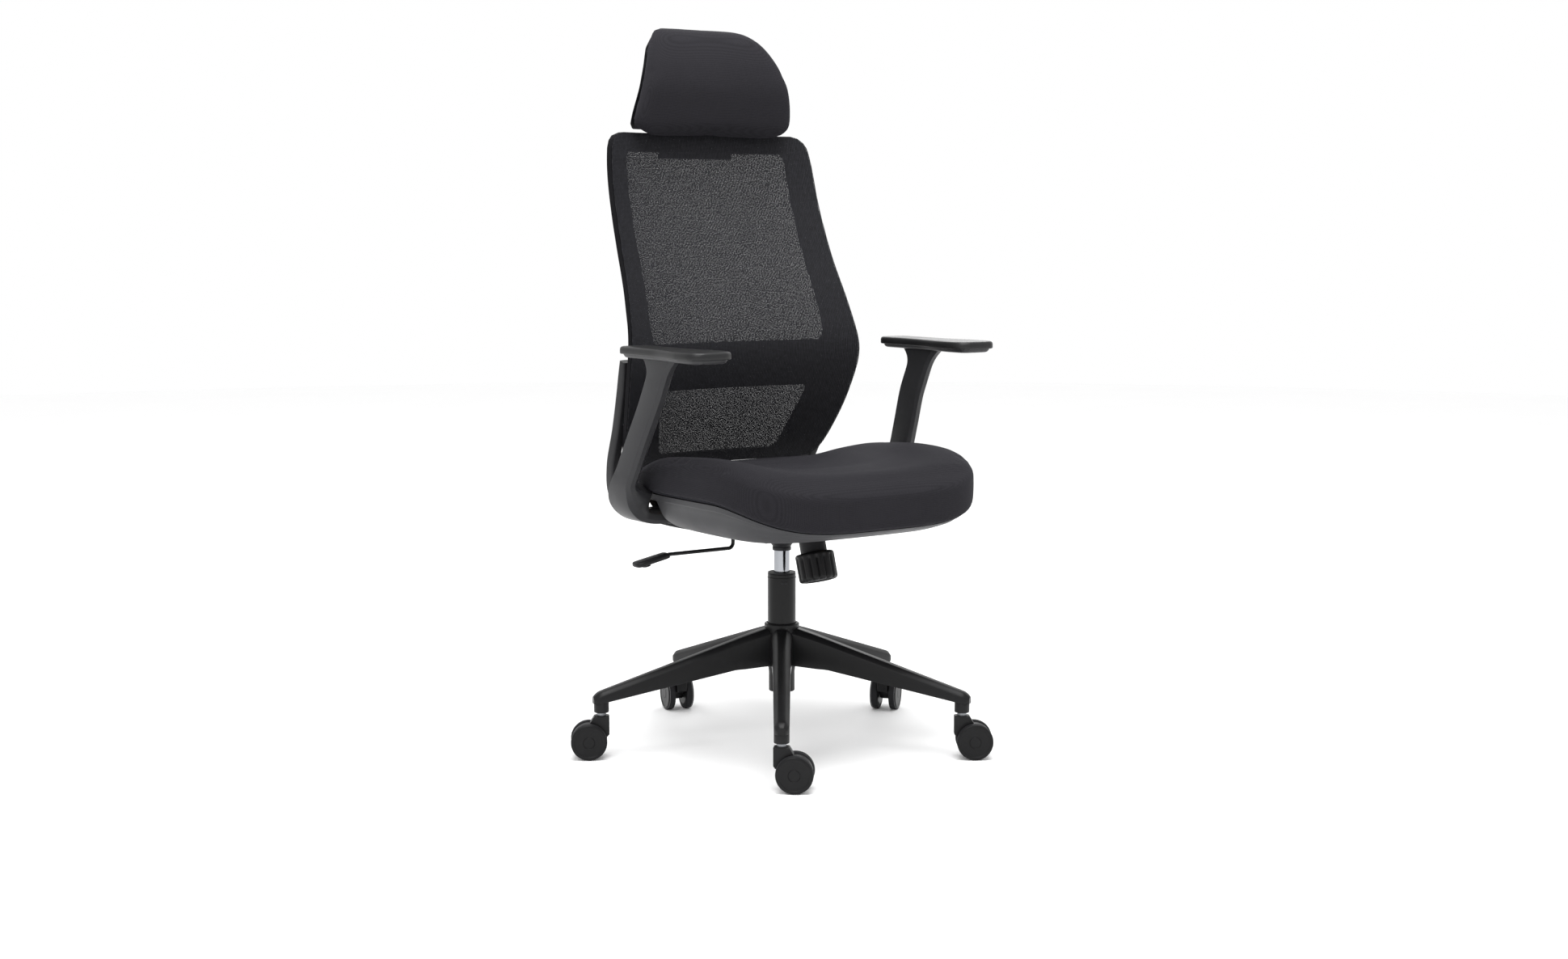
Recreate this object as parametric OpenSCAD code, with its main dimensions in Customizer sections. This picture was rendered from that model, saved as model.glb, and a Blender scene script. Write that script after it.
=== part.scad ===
// Swivel office chair with a tall mesh back, fixed arms, a headrest and a five-star base on twin-wheel
// casters. The origin is the point on the floor below the gas column, +Z is up, and the sitter faces -Y.

/* [Base] */
// Distance from the column to each caster stem
base_r = 329; // [270:1:400]
// Turn of the star base about the column
base_turn = 35.3; // [0:0.1:72]
// Height of the hub's top rim
hub_top = 220; // [200:1:262]
// Height of the hub's lower end
hub_bottom = 98; // [92:1:104]
// Outer diameter of the hub at its top rim
hub_d = 62; // [58:1:74]
// Outer diameter of the hub's lower sleeve
sleeve_d = 46; // [43:1:54]
// Width of a leg at the hub
leg_w = 35; // [28:1:42]
// Depth of a leg at the hub
leg_h = 74; // [60:1:88]
// Depth of a leg at its outer end
leg_tip_h = 17; // [14:1:22]

/* [Casters] */
// Diameter of a caster wheel
wheel_d = 63; // [52:1:75]
// Width of the tread of one wheel
wheel_w = 14.5; // [10:0.5:20]
// Distance of the wheel axle behind the stem
trail = 22; // [17:0.5:28]
// Width of the caster's middle body
fork_w = 19; // [16:0.5:26]
// Length of the caster's middle body along the trail
fork_l = 27; // [22:0.5:32]
// Diameter of the caster stem
stem_d = 11; // [9:0.5:13]
// Turn of each caster from its own leg at rest
caster_turn = [86, 18, 21, -16, -13];

/* [Column] */
// Outer diameter of the column tube
column_d = 50; // [45:1:56]
// Height of the column's top edge
column_top = 309; // [290:1:330]
// Diameter of the gas cylinder
cylinder_d = 28; // [25:0.5:30]
// Travel of the seat height adjustment
lift_travel = 100; // [60:1:110]
// Height of the underside of the tilt mechanism
mech_z = 368; // [360:1:400]

/* [Seat] */
// Half of the seat's width
seat_half_w = 256; // [215:1:300]
// Length of the seat in front of its widest line
seat_front = 238; // [200:1:280]
// Length of the seat behind its widest line
seat_rear = 252; // [235:1:290]
// Height of the seat board's underside above the mechanism's underside
board_rise = 63; // [60:1:76]
// Thickness of the seat board
board_t = 12; // [9:0.5:15]
// Height of the cushion's side, from its lower seam to its upper edge
cushion_side = 47; // [38:1:60]
// Depth of the dish in the middle of the cushion's top
cushion_dish = 17; // [0:1:22]
// Rise of the cushion's side edges from the rear to the front
cushion_rise = 14; // [0:1:20]
// Drop of the front edge, the waterfall
front_drop = 50; // [30:1:60]
// Wall thickness of the plastic seat pan
pan_wall = 3.5; // [2.5:0.5:5]
// Depth of the seat pan below the seat board's underside
pan_depth = 36; // [32:1:44]

/* [Arms] */
// Half of the distance between the arm blades at the pads
arm_half = 278; // [270:1:330]
// Height of the arm pads' top face above the seat board's underside
arm_rise = 287; // [230:1:330]
// Width of an arm blade
blade_w = 54; // [42:1:64]
// Thickness of an arm blade
blade_t = 21; // [16:1:25]
// Length of an arm pad
pad_l = 260; // [230:1:310]
// Width of an arm pad at its rear
pad_w = 60; // [50:1:72]
// Width of an arm pad at its broad front
pad_front_w = 86; // [70:1:100]
// Thickness of an arm pad
pad_t = 13; // [10:0.5:18]

/* [Back] */
// Height of the back frame, from its bottom edge to its top edge
back_h = 595; // [500:1:700]
// Half of the back's greatest width, at the lumbar bulge
back_half = 246; // [210:1:258]
// Thickness of the back frame at its top
frame_t = 24; // [18:1:30]
// Thickness of the mesh fabric
mesh_t = 1.2; // [0.8:0.1:2]
// Forward wrap of the back's side edges
wrap = 32; // [15:1:45]

/* [Headrest] */
// Height of the headrest pad
head_h = 183; // [150:1:220]
// Width of the headrest pad at its bottom
head_w = 332; // [260:1:370]
// Width of the headrest pad at its top
head_top_w = 184; // [150:1:220]
// Thickness of the headrest pad
head_t = 58; // [46:1:72]
// Travel of the headrest's height adjustment
head_travel = 45; // [20:1:50]

/* [Lever and knob] */
// Diameter of the lever's steel rod
rod_d = 6.5; // [5:0.5:8]
// Distance of the lever paddle's tip from the column
lever_reach = 309; // [270:1:330]
// Diameter of the tilt tension knob
knob_d = 68; // [56:1:80]
// Length of the tilt tension knob
knob_l = 49; // [38:1:56]
// Forward lean of the knob's axis
knob_lean = 17; // [0:1:22]

/* [Hidden] */
LEGS = 5;
RUN = 0.05;            // radial clearance of a running fit
GAP = 0.3;             // clearance between pieces that pass each other
SINK = 2;              // depth by which a solid is joined into its neighbour
BLACK = "#242427";
CHARCOAL = "#333336";
STEEL = "#9a9ca0";
// heights of the base, from the floor up
axle_z = wheel_d / 2;
fork_top = wheel_d + 12;
socket_z = fork_top + 5.5;
tip_top = socket_z + 33;
leg_tip_z = tip_top - leg_tip_h;
leg_root_z = hub_top - leg_h;
tip_r = base_r + 14;
socket_d = 26;
socket_depth = 22;
wheel_in = fork_w / 2 + 1;
// heights of the column
column_z = hub_bottom + 2;
taper_d = sleeve_d - 8;
core_d = taper_d - 5;
plate_t = 3;
rod_out = 10;
bearing_z = column_z + plate_t + GAP;
bearing_h = 8;
bumper_z = bearing_z + bearing_h + GAP;
bumper_h = 12;
cyl_z = bumper_z + bumper_h + GAP;
bush_h = 58;
bush_z = column_top - bush_h;
piston_z = cyl_z + 10 + lift_travel + 1;
cone_z = mech_z - 18;
socket_top = mech_z + 30;
// the mechanism
house_w = 104;
house_front = -122;
house_rear = 70;
sheet = 3;
pivot_y = -60;
pivot_z = mech_z + 30;
axle_d = 12;
board_z = mech_z + board_rise;
top_z = board_z - sheet;
ear_x = house_w / 2 + 1;
knob_top = [0, -97, mech_z - 12];
nut_travel = 6;
cup_d = 46;
screw_d = 10;
// the lever
lever_y = -9;
lever_z = mech_z + 30;
cradle_x = -40;
drop_x = -110;
lever_low = mech_z - 4;
paddle_l = 68;
paddle_lean = 11;
// the seat
seat_y = -68;
seam_z = board_z + 35;
edge_z = seam_z + cushion_side;
belly_z = board_z - pan_depth;
drop_from = -140;
drop_len = seat_front - seat_y + drop_from;
SEAT_N = 40;
BOARD_K = 0.84;
open_x = 62;
open_front = -158;
open_rear = 150;
// the arms
foot_y = 84;
foot_w = 60;
foot_t = 25;
foot_in = 96;
YOKE_ROOF = 12;
YOKE_H = 59;
HEAD_HUG = 20;
HEAD_SAG = 3.5;
ARM_BEND = 12;
pad_top = board_z + arm_rise;
plate_h = 7;
// the back
back_z = board_z + 57;
back_top = back_z + back_h;
FROWS = 30;
FCOLS = 12;
RAIL = 2;
SCREW_SEAT = 14;
// row numbers of the two windows and of the crossband, counted from the bottom edge
LOW_A = 2;
LOW_B = 8;
UP_A = 12;
UP_B = 27;
// the headrest
rail_y = 247 + frame_t;
head_z = back_top + 4;
mast_w = 30;
mast_t = 9;
mast_top = head_z + 81 + head_travel;
slide_h = 34;
hinge_z = head_z + 62;

// ---- helpers -------------------------------------------------------------------------------------

function mean(ps) = let(n = len(ps)) [for (k = [0:2]) vsum([for (p = ps) p[k]]) / n];
function vsum(v) = v * [for (x = v) 1];
function unit(v) = v / norm(v);
function smooth(t) = let(c = min(1, max(0, t))) c * c * (3 - 2 * c);
function mix(a, b, t) = a + (b - a) * t;

// A smooth curve through hand-set points; s runs from 0 at the first to 1 at the last
function spline(ps, s) =
    let(n = len(ps) - 1, f = min(n - 1e-9, max(0, s * n)), i = floor(f), t = f - i,
        a = i > 0 ? ps[i - 1] : 2 * ps[0] - ps[1], b = ps[i], c = ps[i + 1],
        d = i + 2 <= n ? ps[i + 2] : 2 * ps[n] - ps[n - 1])
    0.5 * (2 * b + (c - a) * t + (2 * a - 5 * b + 4 * c - d) * t * t + (3 * b - a - 3 * c + d) * t * t * t);

// The value of such a curve where its first coordinate is x
function curve_at(ps, x, lo = 0, hi = 1, n = 24) =
    n == 0 ? spline(ps, (lo + hi) / 2)[1]
    : let(m = (lo + hi) / 2, above = spline(ps, m)[0] < x)
        curve_at(ps, x, above ? m : lo, above ? hi : m, n - 1);

// A rounded rectangle of n points about the origin, as a superellipse
function squircle(w, h, n, e) =
    [for (i = [0:n - 1]) let(a = 360 * (i + 0.5) / n)
        [w / 2 * sign(cos(a)) * pow(abs(cos(a)), 2 / e), h / 2 * sign(sin(a)) * pow(abs(sin(a)), 2 / e)]];

// A closed solid through a row of rings that all have the same number of points; its ends close onto
// their middles, or straight across from front to rear where the rings are bent
module loft(rings, bent = false) {
    n = len(rings);
    k = len(rings[0]);
    c0 = mean(rings[0]);
    turn = [for (i = [0:k - 1]) cross(rings[0][i] - c0, rings[0][(i + 1) % k] - c0)];
    flip = [for (a = [0:2]) vsum([for (t = turn) t[a]])] * (mean(rings[n - 1]) - c0) > 0;
    side = [for (j = [0:n - 2], i = [0:k - 1]) let(a = j * k + i, b = j * k + (i + 1) % k)
        each [[a, b, b + k], [a, b + k, a + k]]];
    across = function (b) [for (i = [0:k / 2 - 2])
        each [[b + i, b + i + 1, b + k - 1 - i], [b + i + 1, b + k - 2 - i, b + k - 1 - i]]];
    low = bent ? [for (f = across(0)) [f[2], f[1], f[0]]] : [for (i = [0:k - 1]) [n * k, (i + 1) % k, i]];
    high = bent ? across((n - 1) * k)
        : [for (i = [0:k - 1]) [n * k + 1, (n - 1) * k + i, (n - 1) * k + (i + 1) % k]];
    all = concat(side, low, high);
    polyhedron(
        points = concat([for (r = rings) each r], bent ? [] : [c0, mean(rings[n - 1])]),
        faces = flip ? [for (f = all) [f[2], f[1], f[0]]] : all);
}

// A closed sheet over a grid of rows by cols cells; pt gives a point on its face (s 0) or back (s 1),
// and keep says which cells are solid, so that the others are windows
module sheet_over(rows, cols, pt, keep) {
    at = function (i, j, s) (i * (cols + 1) + j) * 2 + s;
    on = function (i, j) i >= 0 && i < rows && j >= 0 && j < cols && keep(i, j);
    quad = function (a, b, c, d) [[a, b, c], [a, c, d]];
    cells = [for (i = [0:rows - 1], j = [0:cols - 1]) if (on(i, j)) [i, j]];
    faces = [for (c = cells) let(i = c[0], j = c[1]) each concat(
        quad(at(i, j, 0), at(i, j + 1, 0), at(i + 1, j + 1, 0), at(i + 1, j, 0)),
        quad(at(i, j, 1), at(i + 1, j, 1), at(i + 1, j + 1, 1), at(i, j + 1, 1)),
        on(i, j - 1) ? [] : quad(at(i, j, 0), at(i + 1, j, 0), at(i + 1, j, 1), at(i, j, 1)),
        on(i, j + 1) ? []
            : quad(at(i, j + 1, 0), at(i, j + 1, 1), at(i + 1, j + 1, 1), at(i + 1, j + 1, 0)),
        on(i - 1, j) ? [] : quad(at(i, j, 0), at(i, j, 1), at(i, j + 1, 1), at(i, j + 1, 0)),
        on(i + 1, j) ? []
            : quad(at(i + 1, j, 0), at(i + 1, j + 1, 0), at(i + 1, j + 1, 1), at(i + 1, j, 1)))];
    pts = [for (i = [0:rows], j = [0:cols], s = [0, 1]) pt(i, j, s)];
    flip = cross(pt(0, 1, 0) - pt(0, 0, 0), pt(1, 0, 0) - pt(0, 0, 0)) * (pt(0, 0, 1) - pt(0, 0, 0)) < 0;
    polyhedron(points = pts, faces = flip ? [for (f = faces) [f[2], f[1], f[0]]] : faces);
}

module mirrored() {
    children();
    mirror([1, 0, 0]) children();
}

// A tube that stands on z = 0
module tube(d, bore, h) {
    difference() {
        cylinder(d = d, h = h);
        translate([0, 0, -1]) cylinder(d = bore, h = h + 2);
    }
}

// A hexagon-head bolt that points up, with its head's underside at z = 0
module bolt(d, h, head) {
    cylinder(d = d, h = h);
    translate([0, 0, -head]) cylinder(d = 1.7 * d, h = head, $fn = 6);
}

// ---- base and casters ----------------------------------------------------------------------------

function leg_angle(i) = -90 - base_turn + 360 / LEGS * i;

// Section across a leg at radius r: a flat bottom, upright sides and a broad bevel on top
function leg_ring(r, low, high, w) =
    let(edge = high - 0.3 * w, flat = 0.46 * w)
    [[r, -w / 2, low], [r, w / 2, low], [r, w / 2, edge], [r, flat / 2, high],
        [r, -flat / 2, high], [r, -w / 2, edge]];

module leg() {
    root_r = sleeve_d / 2 - 6;
    knee_r = 88;
    slope = (hub_top - 4 - tip_top) / (tip_r - root_r);
    loft([
        leg_ring(root_r, leg_root_z, hub_top - 4, leg_w),
        leg_ring(knee_r, leg_root_z - 3, hub_top - 4 - slope * (knee_r - root_r), leg_w - 4),
        leg_ring(tip_r - 6, leg_tip_z, tip_top + 1, socket_d),
        leg_ring(tip_r, leg_tip_z + 1, tip_top - 4, socket_d - 4)
    ]);
}

// The open channel under a leg
module leg_channel() {
    wall = 4.5;
    near = 62;
    far = base_r - socket_d / 2 - 8;
    rise = function (r) mix(leg_h * 0.46, leg_tip_h - 8, (r - near) / (far - near));
    low = function (r) mix(leg_root_z - 2, leg_tip_z, (r - near) / (far - near));
    loft([for (r = [near, far]) let(w = mix(leg_w - 4, socket_d, r / base_r) / 2 - wall)
        [[r, -w, low(r) - 12], [r, w, low(r) - 12],
            [r, w - 1, low(r) + rise(r)], [r, 1 - w, low(r) + rise(r)]]]);
}

module base_star() {
    color(BLACK) difference() {
        union() {
            translate([0, 0, hub_bottom]) cylinder(d = sleeve_d, h = leg_root_z - hub_bottom + SINK);
            translate([0, 0, leg_root_z]) cylinder(d1 = sleeve_d + 8, d2 = hub_d, h = hub_top - leg_root_z);
            for (i = [0:LEGS - 1]) rotate(leg_angle(i)) {
                difference() {
                    leg();
                    leg_channel();
                }
                translate([base_r, 0, socket_z]) cylinder(d = socket_d, h = leg_tip_z - socket_z + 8);
                translate([base_r, 0, leg_tip_z - 4]) cylinder(d = socket_d - 2, h = leg_tip_h - 4);
            }
        }
        translate([0, 0, hub_bottom - 1]) cylinder(d = taper_d + 0.1, h = column_z - hub_bottom + 1.01);
        translate([0, 0, column_z])
            cylinder(d1 = taper_d + 0.1, d2 = column_d + 0.1, h = hub_top - column_z + 0.01);
        for (i = [0:LEGS - 1]) rotate(leg_angle(i))
            translate([base_r, 0, socket_z - 1]) cylinder(d = stem_d + 0.04, h = socket_depth + 1);
    }
}

module in_caster(i) {
    rotate(leg_angle(i)) translate([base_r, 0, 0]) rotate(caster_turn[i]) children();
}

// The five stems: each is pressed up into its leg and carries the fork below
module caster_stems() {
    color(STEEL) for (i = [0:LEGS - 1]) in_caster(i) {
        translate([0, 0, axle_z + 9]) cylinder(d = stem_d, h = socket_z + socket_depth - 1 - axle_z - 9);
        translate([0, 0, fork_top + 0.5]) cylinder(d = stem_d + 5, h = socket_z - fork_top - 0.5);
    }
}

// The middle body: an upright housing for the stem and a guard that follows the wheels' top
module caster_fork(i) {
    guard_r = wheel_d / 2 - 1.5;
    color(BLACK) in_caster(i) difference() {
        union() {
            rotate([90, 0, 0]) linear_extrude(fork_w, center = true) {
                difference() {
                    union() {
                        translate([trail, axle_z]) circle(r = guard_r);
                        translate([-fork_l / 2, axle_z + 7]) square([fork_l, fork_top - axle_z - 7]);
                    }
                    translate([trail + 3, -1]) square([wheel_d, axle_z + 12]);
                    translate([-wheel_d, -1]) square([2 * wheel_d, axle_z - 8]);
                    translate([trail + 3, -1]) rotate(35) translate([0, -20]) square([wheel_d, axle_z + 22]);
                }
                translate([trail, axle_z]) circle(r = 11);
            }
        }
        translate([0, 0, axle_z + 8]) cylinder(d = stem_d + 2 * RUN, h = fork_top);
        translate([trail, 0, axle_z]) rotate([90, 0, 0]) cylinder(d = 8, h = fork_w + 2, center = true);
    }
}

module caster_axle(i) {
    color(STEEL) in_caster(i) translate([trail, 0, axle_z]) rotate([90, 0, 0])
        cylinder(d = 8, h = 2 * (wheel_in + wheel_w) - 5, center = true);
}

// One wheel, revolved about its axle; side is -1 or 1
module caster_wheel(i, side) {
    r = wheel_d / 2;
    color(BLACK) in_caster(i) translate([trail, side * wheel_in, axle_z]) rotate([side * -90, 0, 0])
        difference() {
            rotate_extrude($fn = 96) polygon([
                [0, 0], [r - 2.5, 0], [r - 0.5, 1], [r, 3], [r, wheel_w - 3.6], [r - 1, wheel_w - 3.2],
                [r - 1, wheel_w - 2.4], [r - 0.2, wheel_w - 2], [r - 1.6, wheel_w], [r - 6, wheel_w + 0.4],
                [r - 7, wheel_w - 0.4], [0, wheel_w + 0.2]]);
            translate([0, 0, -1]) cylinder(d = 8 + 2 * RUN, h = wheel_w - 1.2);
        }
}

// ---- gas column ----------------------------------------------------------------------------------

module column_tube() {
    color(BLACK) difference() {
        union() {
            translate([0, 0, column_z]) cylinder(d1 = taper_d, d2 = column_d, h = hub_top - column_z);
            translate([0, 0, hub_top]) cylinder(d = column_d, h = column_top - hub_top);
        }
        translate([0, 0, column_z - 1]) cylinder(d = rod_out + 2 * GAP, h = plate_t + 2);
        translate([0, 0, column_z + plate_t]) cylinder(d = core_d, h = column_top);
        translate([0, 0, bush_z - GAP]) cylinder(d = column_d - 8, h = bush_h + 1);
    }
}

module guide_bush() {
    color(CHARCOAL) difference() {
        union() {
            translate([0, 0, bush_z]) cylinder(d = column_d - 8, h = bush_h);
            translate([0, 0, column_top]) cylinder(d = column_d - 1, h = 2);
        }
        translate([0, 0, bush_z - 1]) cylinder(d = cylinder_d + 2 * RUN, h = bush_h + 4);
    }
}

module thrust_bearing() {
    color(STEEL) translate([0, 0, column_z + plate_t]) tube(core_d - 2, rod_out + 2 * GAP, bearing_h);
}

module piston_rod() {
    color(STEEL) {
        translate([0, 0, column_z - 6]) cylinder(d = rod_out, h = piston_z - column_z + 8);
        translate([0, 0, piston_z]) cylinder(d = cylinder_d - 6 - 2 * RUN, h = 12);
    }
}

module stop_bumper() {
    color(CHARCOAL) translate([0, 0, bumper_z]) tube(core_d - 4, rod_out, bumper_h);
}

module retaining_clip() {
    color(STEEL) translate([0, 0, column_z - 3 - GAP]) difference() {
        cylinder(d = rod_out + 8, h = 2);
        translate([0, 0, -1]) cylinder(d = rod_out, h = 4);
        translate([0, 0, -1]) rotate(60) cube([20, 3, 8]);
    }
}

// The cylinder's tapered top, which seats in the tilt mechanism
module cylinder_taper() {
    translate([0, 0, mech_z]) cylinder(d1 = cylinder_d, d2 = cylinder_d - 1.5, h = socket_top - mech_z);
}

module gas_cylinder() {
    color("#c9ccd0") difference() {
        union() {
            translate([0, 0, cyl_z]) cylinder(d = cylinder_d, h = mech_z - cyl_z);
            cylinder_taper();
        }
        translate([0, 0, cyl_z - 1]) cylinder(d = rod_out + 2 * RUN, h = 20);
        translate([0, 0, cyl_z + 10]) cylinder(d = cylinder_d - 6, h = cone_z - cyl_z - 20);
        translate([0, 0, mech_z - 10]) cylinder(d = 8 + 2 * RUN, h = 60);
    }
}

module column_collar() {
    color(BLACK) difference() {
        union() {
            translate([0, 0, cone_z]) cylinder(d = cylinder_d + 5, h = 6);
            translate([0, 0, cone_z + 6])
                cylinder(d1 = cylinder_d + 3, d2 = cylinder_d + 24, h = mech_z - cone_z - 6);
        }
        translate([0, 0, cone_z - 1]) cylinder(d = cylinder_d, h = 40);
    }
}

module valve_button() {
    color(STEEL) translate([0, 0, mech_z - 4]) cylinder(d = 8, h = 34 + 2);
}

// ---- tilt mechanism ------------------------------------------------------------------------------

// The knob's own frame: z runs up along the screw, from the knob's top face
module on_knob_axis() {
    translate(knob_top) rotate([-knob_lean, 0, 0]) children();
}

module tilt_housing() {
    nose = 18;
    wall = [[house_front, mech_z + nose], [house_front, mech_z + 34], [pivot_y - 14, mech_z + 46],
        [pivot_y + 14, mech_z + 46], [house_rear, mech_z + 17], [house_rear, mech_z], [-26, mech_z]];
    hollow = [[house_front + sheet, mech_z + nose + sheet], [house_front + sheet, mech_z + 80],
        [house_rear - sheet, mech_z + 80], [house_rear - sheet, mech_z + sheet], [-26, mech_z + sheet]];
    color("#2c2c2e") difference() {
        union() {
            difference() {
                rotate([90, 0, 90]) linear_extrude(house_w, center = true) polygon(wall);
                rotate([90, 0, 90]) linear_extrude(house_w - 2 * sheet, center = true) polygon(hollow);
            }
            translate([0, 0, mech_z]) cylinder(d = cylinder_d + 12, h = socket_top - mech_z - 1);
            for (y = [-12, 8]) translate([cradle_x - 6, lever_y + y, mech_z]) cube([12, 4, 30]);
        }
        cylinder_taper();
        translate([0, 0, mech_z - 1]) cylinder(d = cylinder_d, h = 1.01);
        translate([0, pivot_y, pivot_z]) rotate([0, 90, 0]) cylinder(d = axle_d, h = 200, center = true);
        translate([cradle_x, lever_y, mech_z + 22]) rotate([90, 0, 0])
            cylinder(d = 5 + 2 * RUN, h = 40, center = true);
        translate([-house_w / 2 - 1, lever_y, lever_z]) rotate([0, 90, 0]) cylinder(d = 13, h = 8);
        on_knob_axis() translate([0, 0, -20]) cylinder(d = cup_d - 6, h = 60);
    }
}

module tilt_axle() {
    color(STEEL) translate([0, pivot_y, pivot_z]) rotate([0, 90, 0])
        cylinder(d = axle_d, h = 2 * ear_x + 2 * sheet + 8, center = true);
}

module spring_cup() {
    color(BLACK) difference() {
        on_knob_axis() difference() {
            translate([0, 0, 1]) cylinder(d = cup_d, h = 40);
            translate([0, 0, 5]) cylinder(d = cup_d - 6, h = 60);
            cylinder(d = screw_d + 2 * GAP, h = 12, center = true);
        }
        rotate([90, 0, 90]) linear_extrude(200, center = true)
            polygon([[house_front - 20, mech_z + 18 + 18 * 20 / (-26 - house_front)], [-26, mech_z],
                [-26, mech_z + 80], [house_front - 20, mech_z + 80]]);
    }
}

module tension_spring() {
    coils = 4;
    seg = 14;
    coil_r = 13;
    wire = 3.4;
    z0 = 5 + 8 + nut_travel + 2;
    span = 17;
    ring = function (q) let(a = 360 * q / seg, z = z0 + wire / 2 + span * q / (seg * coils),
        c = [coil_r * cos(a), coil_r * sin(a), z])
        [for (k = [0:7]) c + wire / 2 * (cos(45 * k) * [cos(a), sin(a), 0] + sin(45 * k) * [0, 0, 1])];
    color(STEEL) on_knob_axis() loft([for (q = [0:seg * coils]) ring(q)]);
}

module tension_screw() {
    color(STEEL) on_knob_axis() translate([0, 0, -knob_l + 14]) cylinder(d = screw_d, h = knob_l + 20);
}

module tension_knob() {
    flutes = 15;
    color(BLACK) on_knob_axis() difference() {
        translate([0, 0, -knob_l]) rotate_extrude($fn = 90) polygon([
            [0, 0], [knob_d / 2 - 7, 0], [knob_d / 2 - 3, 2], [knob_d / 2, 7], [knob_d / 2, knob_l - 3],
            [knob_d / 2 - 3, knob_l], [0, knob_l]]);
        for (k = [0:flutes - 1]) rotate(360 / flutes * k) translate([knob_d / 2 + 1, 0, -knob_l - 1])
            cylinder(d = 6, h = knob_l - 5, $fn = 24);
        translate([0, 0, -knob_l + 14]) cylinder(d = screw_d, h = knob_l);
    }
}

module spring_nut() {
    color(STEEL) on_knob_axis() translate([0, 0, 5 + GAP]) difference() {
        translate([-13, -13, 0]) cube([26, 26, 7]);
        translate([0, 0, -1]) cylinder(d = screw_d + 2 * RUN, h = 12);
    }
}

// The cradle rocks on its own trunnions, holds the lever rod and carries the finger above the valve
module lever_cradle() {
    color(STEEL) difference() {
        union() {
            translate([cradle_x - 8, lever_y - 7, mech_z + 17]) cube([22, 14, 20]);
            translate([cradle_x, lever_y, mech_z + 22]) rotate([90, 0, 0])
                cylinder(d = 5, h = 23, center = true);
            translate([cradle_x + 10, lever_y - 7, mech_z + 33.3]) cube([35, 21, 3]);
        }
        translate([cradle_x - 20, lever_y, lever_z]) rotate([0, 90, 0]) cylinder(d = rod_d + 2 * RUN, h = 28);
    }
}

// A round rod in the XY plane that sets out along X; each step is a straight length and the turn after it
module bent_rod(steps, d, r) {
    rotate([0, 90, 0]) cylinder(d = d, h = steps[0][0]);
    if (len(steps) > 1) {
        turn = steps[0][1];
        translate([steps[0][0], sign(turn) * r, 0]) {
            rotate(turn > 0 ? -90 : 90 + turn) rotate_extrude(angle = abs(turn))
                translate([r, 0]) circle(d = d);
            rotate(turn) translate([0, -sign(turn) * r, 0])
                bent_rod([for (k = [1:len(steps) - 1]) steps[k]], d, r);
        }
    }
}

// The rod's path: out of the mechanism, down, out again and along the paddle
module rod_path() {
    bend = 9;
    first = cradle_x + 4 - drop_x - bend;
    second = lever_z - lever_low - 2 * bend;
    third = drop_x + lever_reach - paddle_l - bend;
    translate([cradle_x + 4, lever_y, lever_z]) rotate([90, 180, 0])
        bent_rod([[first, 90], [second, -90], [third, paddle_lean], [44, 0]], rod_d, bend);
}

module lever_rod() {
    color("#1d1d1f") rod_path();
}

module lever_paddle() {
    w = 27;
    edge = 5;
    color(BLACK) difference() {
        translate([-lever_reach, lever_y, lever_low - 17]) rotate([0, -paddle_lean, 0]) {
            hull() for (x = [edge, paddle_l - edge], y = [edge - w / 2, w / 2 - edge])
                translate([x, y, -1]) cylinder(r = edge, h = 10, $fn = 32);
            translate([22, 0, -4]) cylinder(d1 = 12, d2 = 18, h = 4);
        }
        rod_path();
    }
}

module top_plate() {
    color("#2c2c2e") difference() {
        union() {
            translate([-80, -132, top_z]) cube([160, 215, sheet]);
            for (x = [-ear_x - sheet, ear_x]) translate([x, pivot_y, 0]) {
                translate([0, -22, pivot_z]) cube([sheet, 44, top_z - pivot_z + 1]);
                translate([0, 0, pivot_z]) rotate([0, 90, 0]) cylinder(d = 44, h = sheet);
            }
        }
        translate([0, pivot_y, pivot_z]) rotate([0, 90, 0])
            cylinder(d = axle_d + 2 * RUN, h = 200, center = true);
        for (p = plate_bolts()) translate([p[0], p[1], top_z - 1]) cylinder(d = 8.4, h = 6);
    }
}

// ---- seat ----------------------------------------------------------------------------------------

function plate_bolts() = [for (x = [-68, 68], y = [-115, 40]) [x, y]];
function yoke_bolts() = [for (x = [-42, 42], y = [open_rear - 45, open_rear - 19]) [x, y]];
function foot_bolts() = [for (s = [-1, 1], k = [0:2]) [s * (foot_in + 16 + 26 * k), foot_y]];

function drop(y) = front_drop * pow(max(0, (drop_from - y) / drop_len), 1.9);
function rise(y) = cushion_rise * (smooth((120 - y) / 240) - 1.6 * smooth((y - 20) / 150));

// The seat's outline at angle a: square-shouldered in front, a little narrower behind
function seat_at(a, k) =
    let(front = sin(a) < 0, e = front ? 2 / 3.9 : 2 / 4.4, ly = front ? seat_front : seat_rear,
        y = ly * sign(sin(a)) * pow(abs(sin(a)), e), x = seat_half_w * sign(cos(a)) * pow(abs(cos(a)), e),
        waist = front ? 1 : 1 - 0.06 * pow(y / seat_rear, 2))
    [k * x * waist, seat_y + k * y];

// The share k of the outline at the height z; fall is its share of the waterfall, up that of the raised sides
function seat_ring(k, z, up = 0, fall = 1) =
    [for (i = [0:SEAT_N - 1]) let(p = seat_at(360 * (i + 0.5) / SEAT_N, k))
        [p[0], p[1], z - fall * drop(p[1]) + up * rise(p[1])]];

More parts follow.
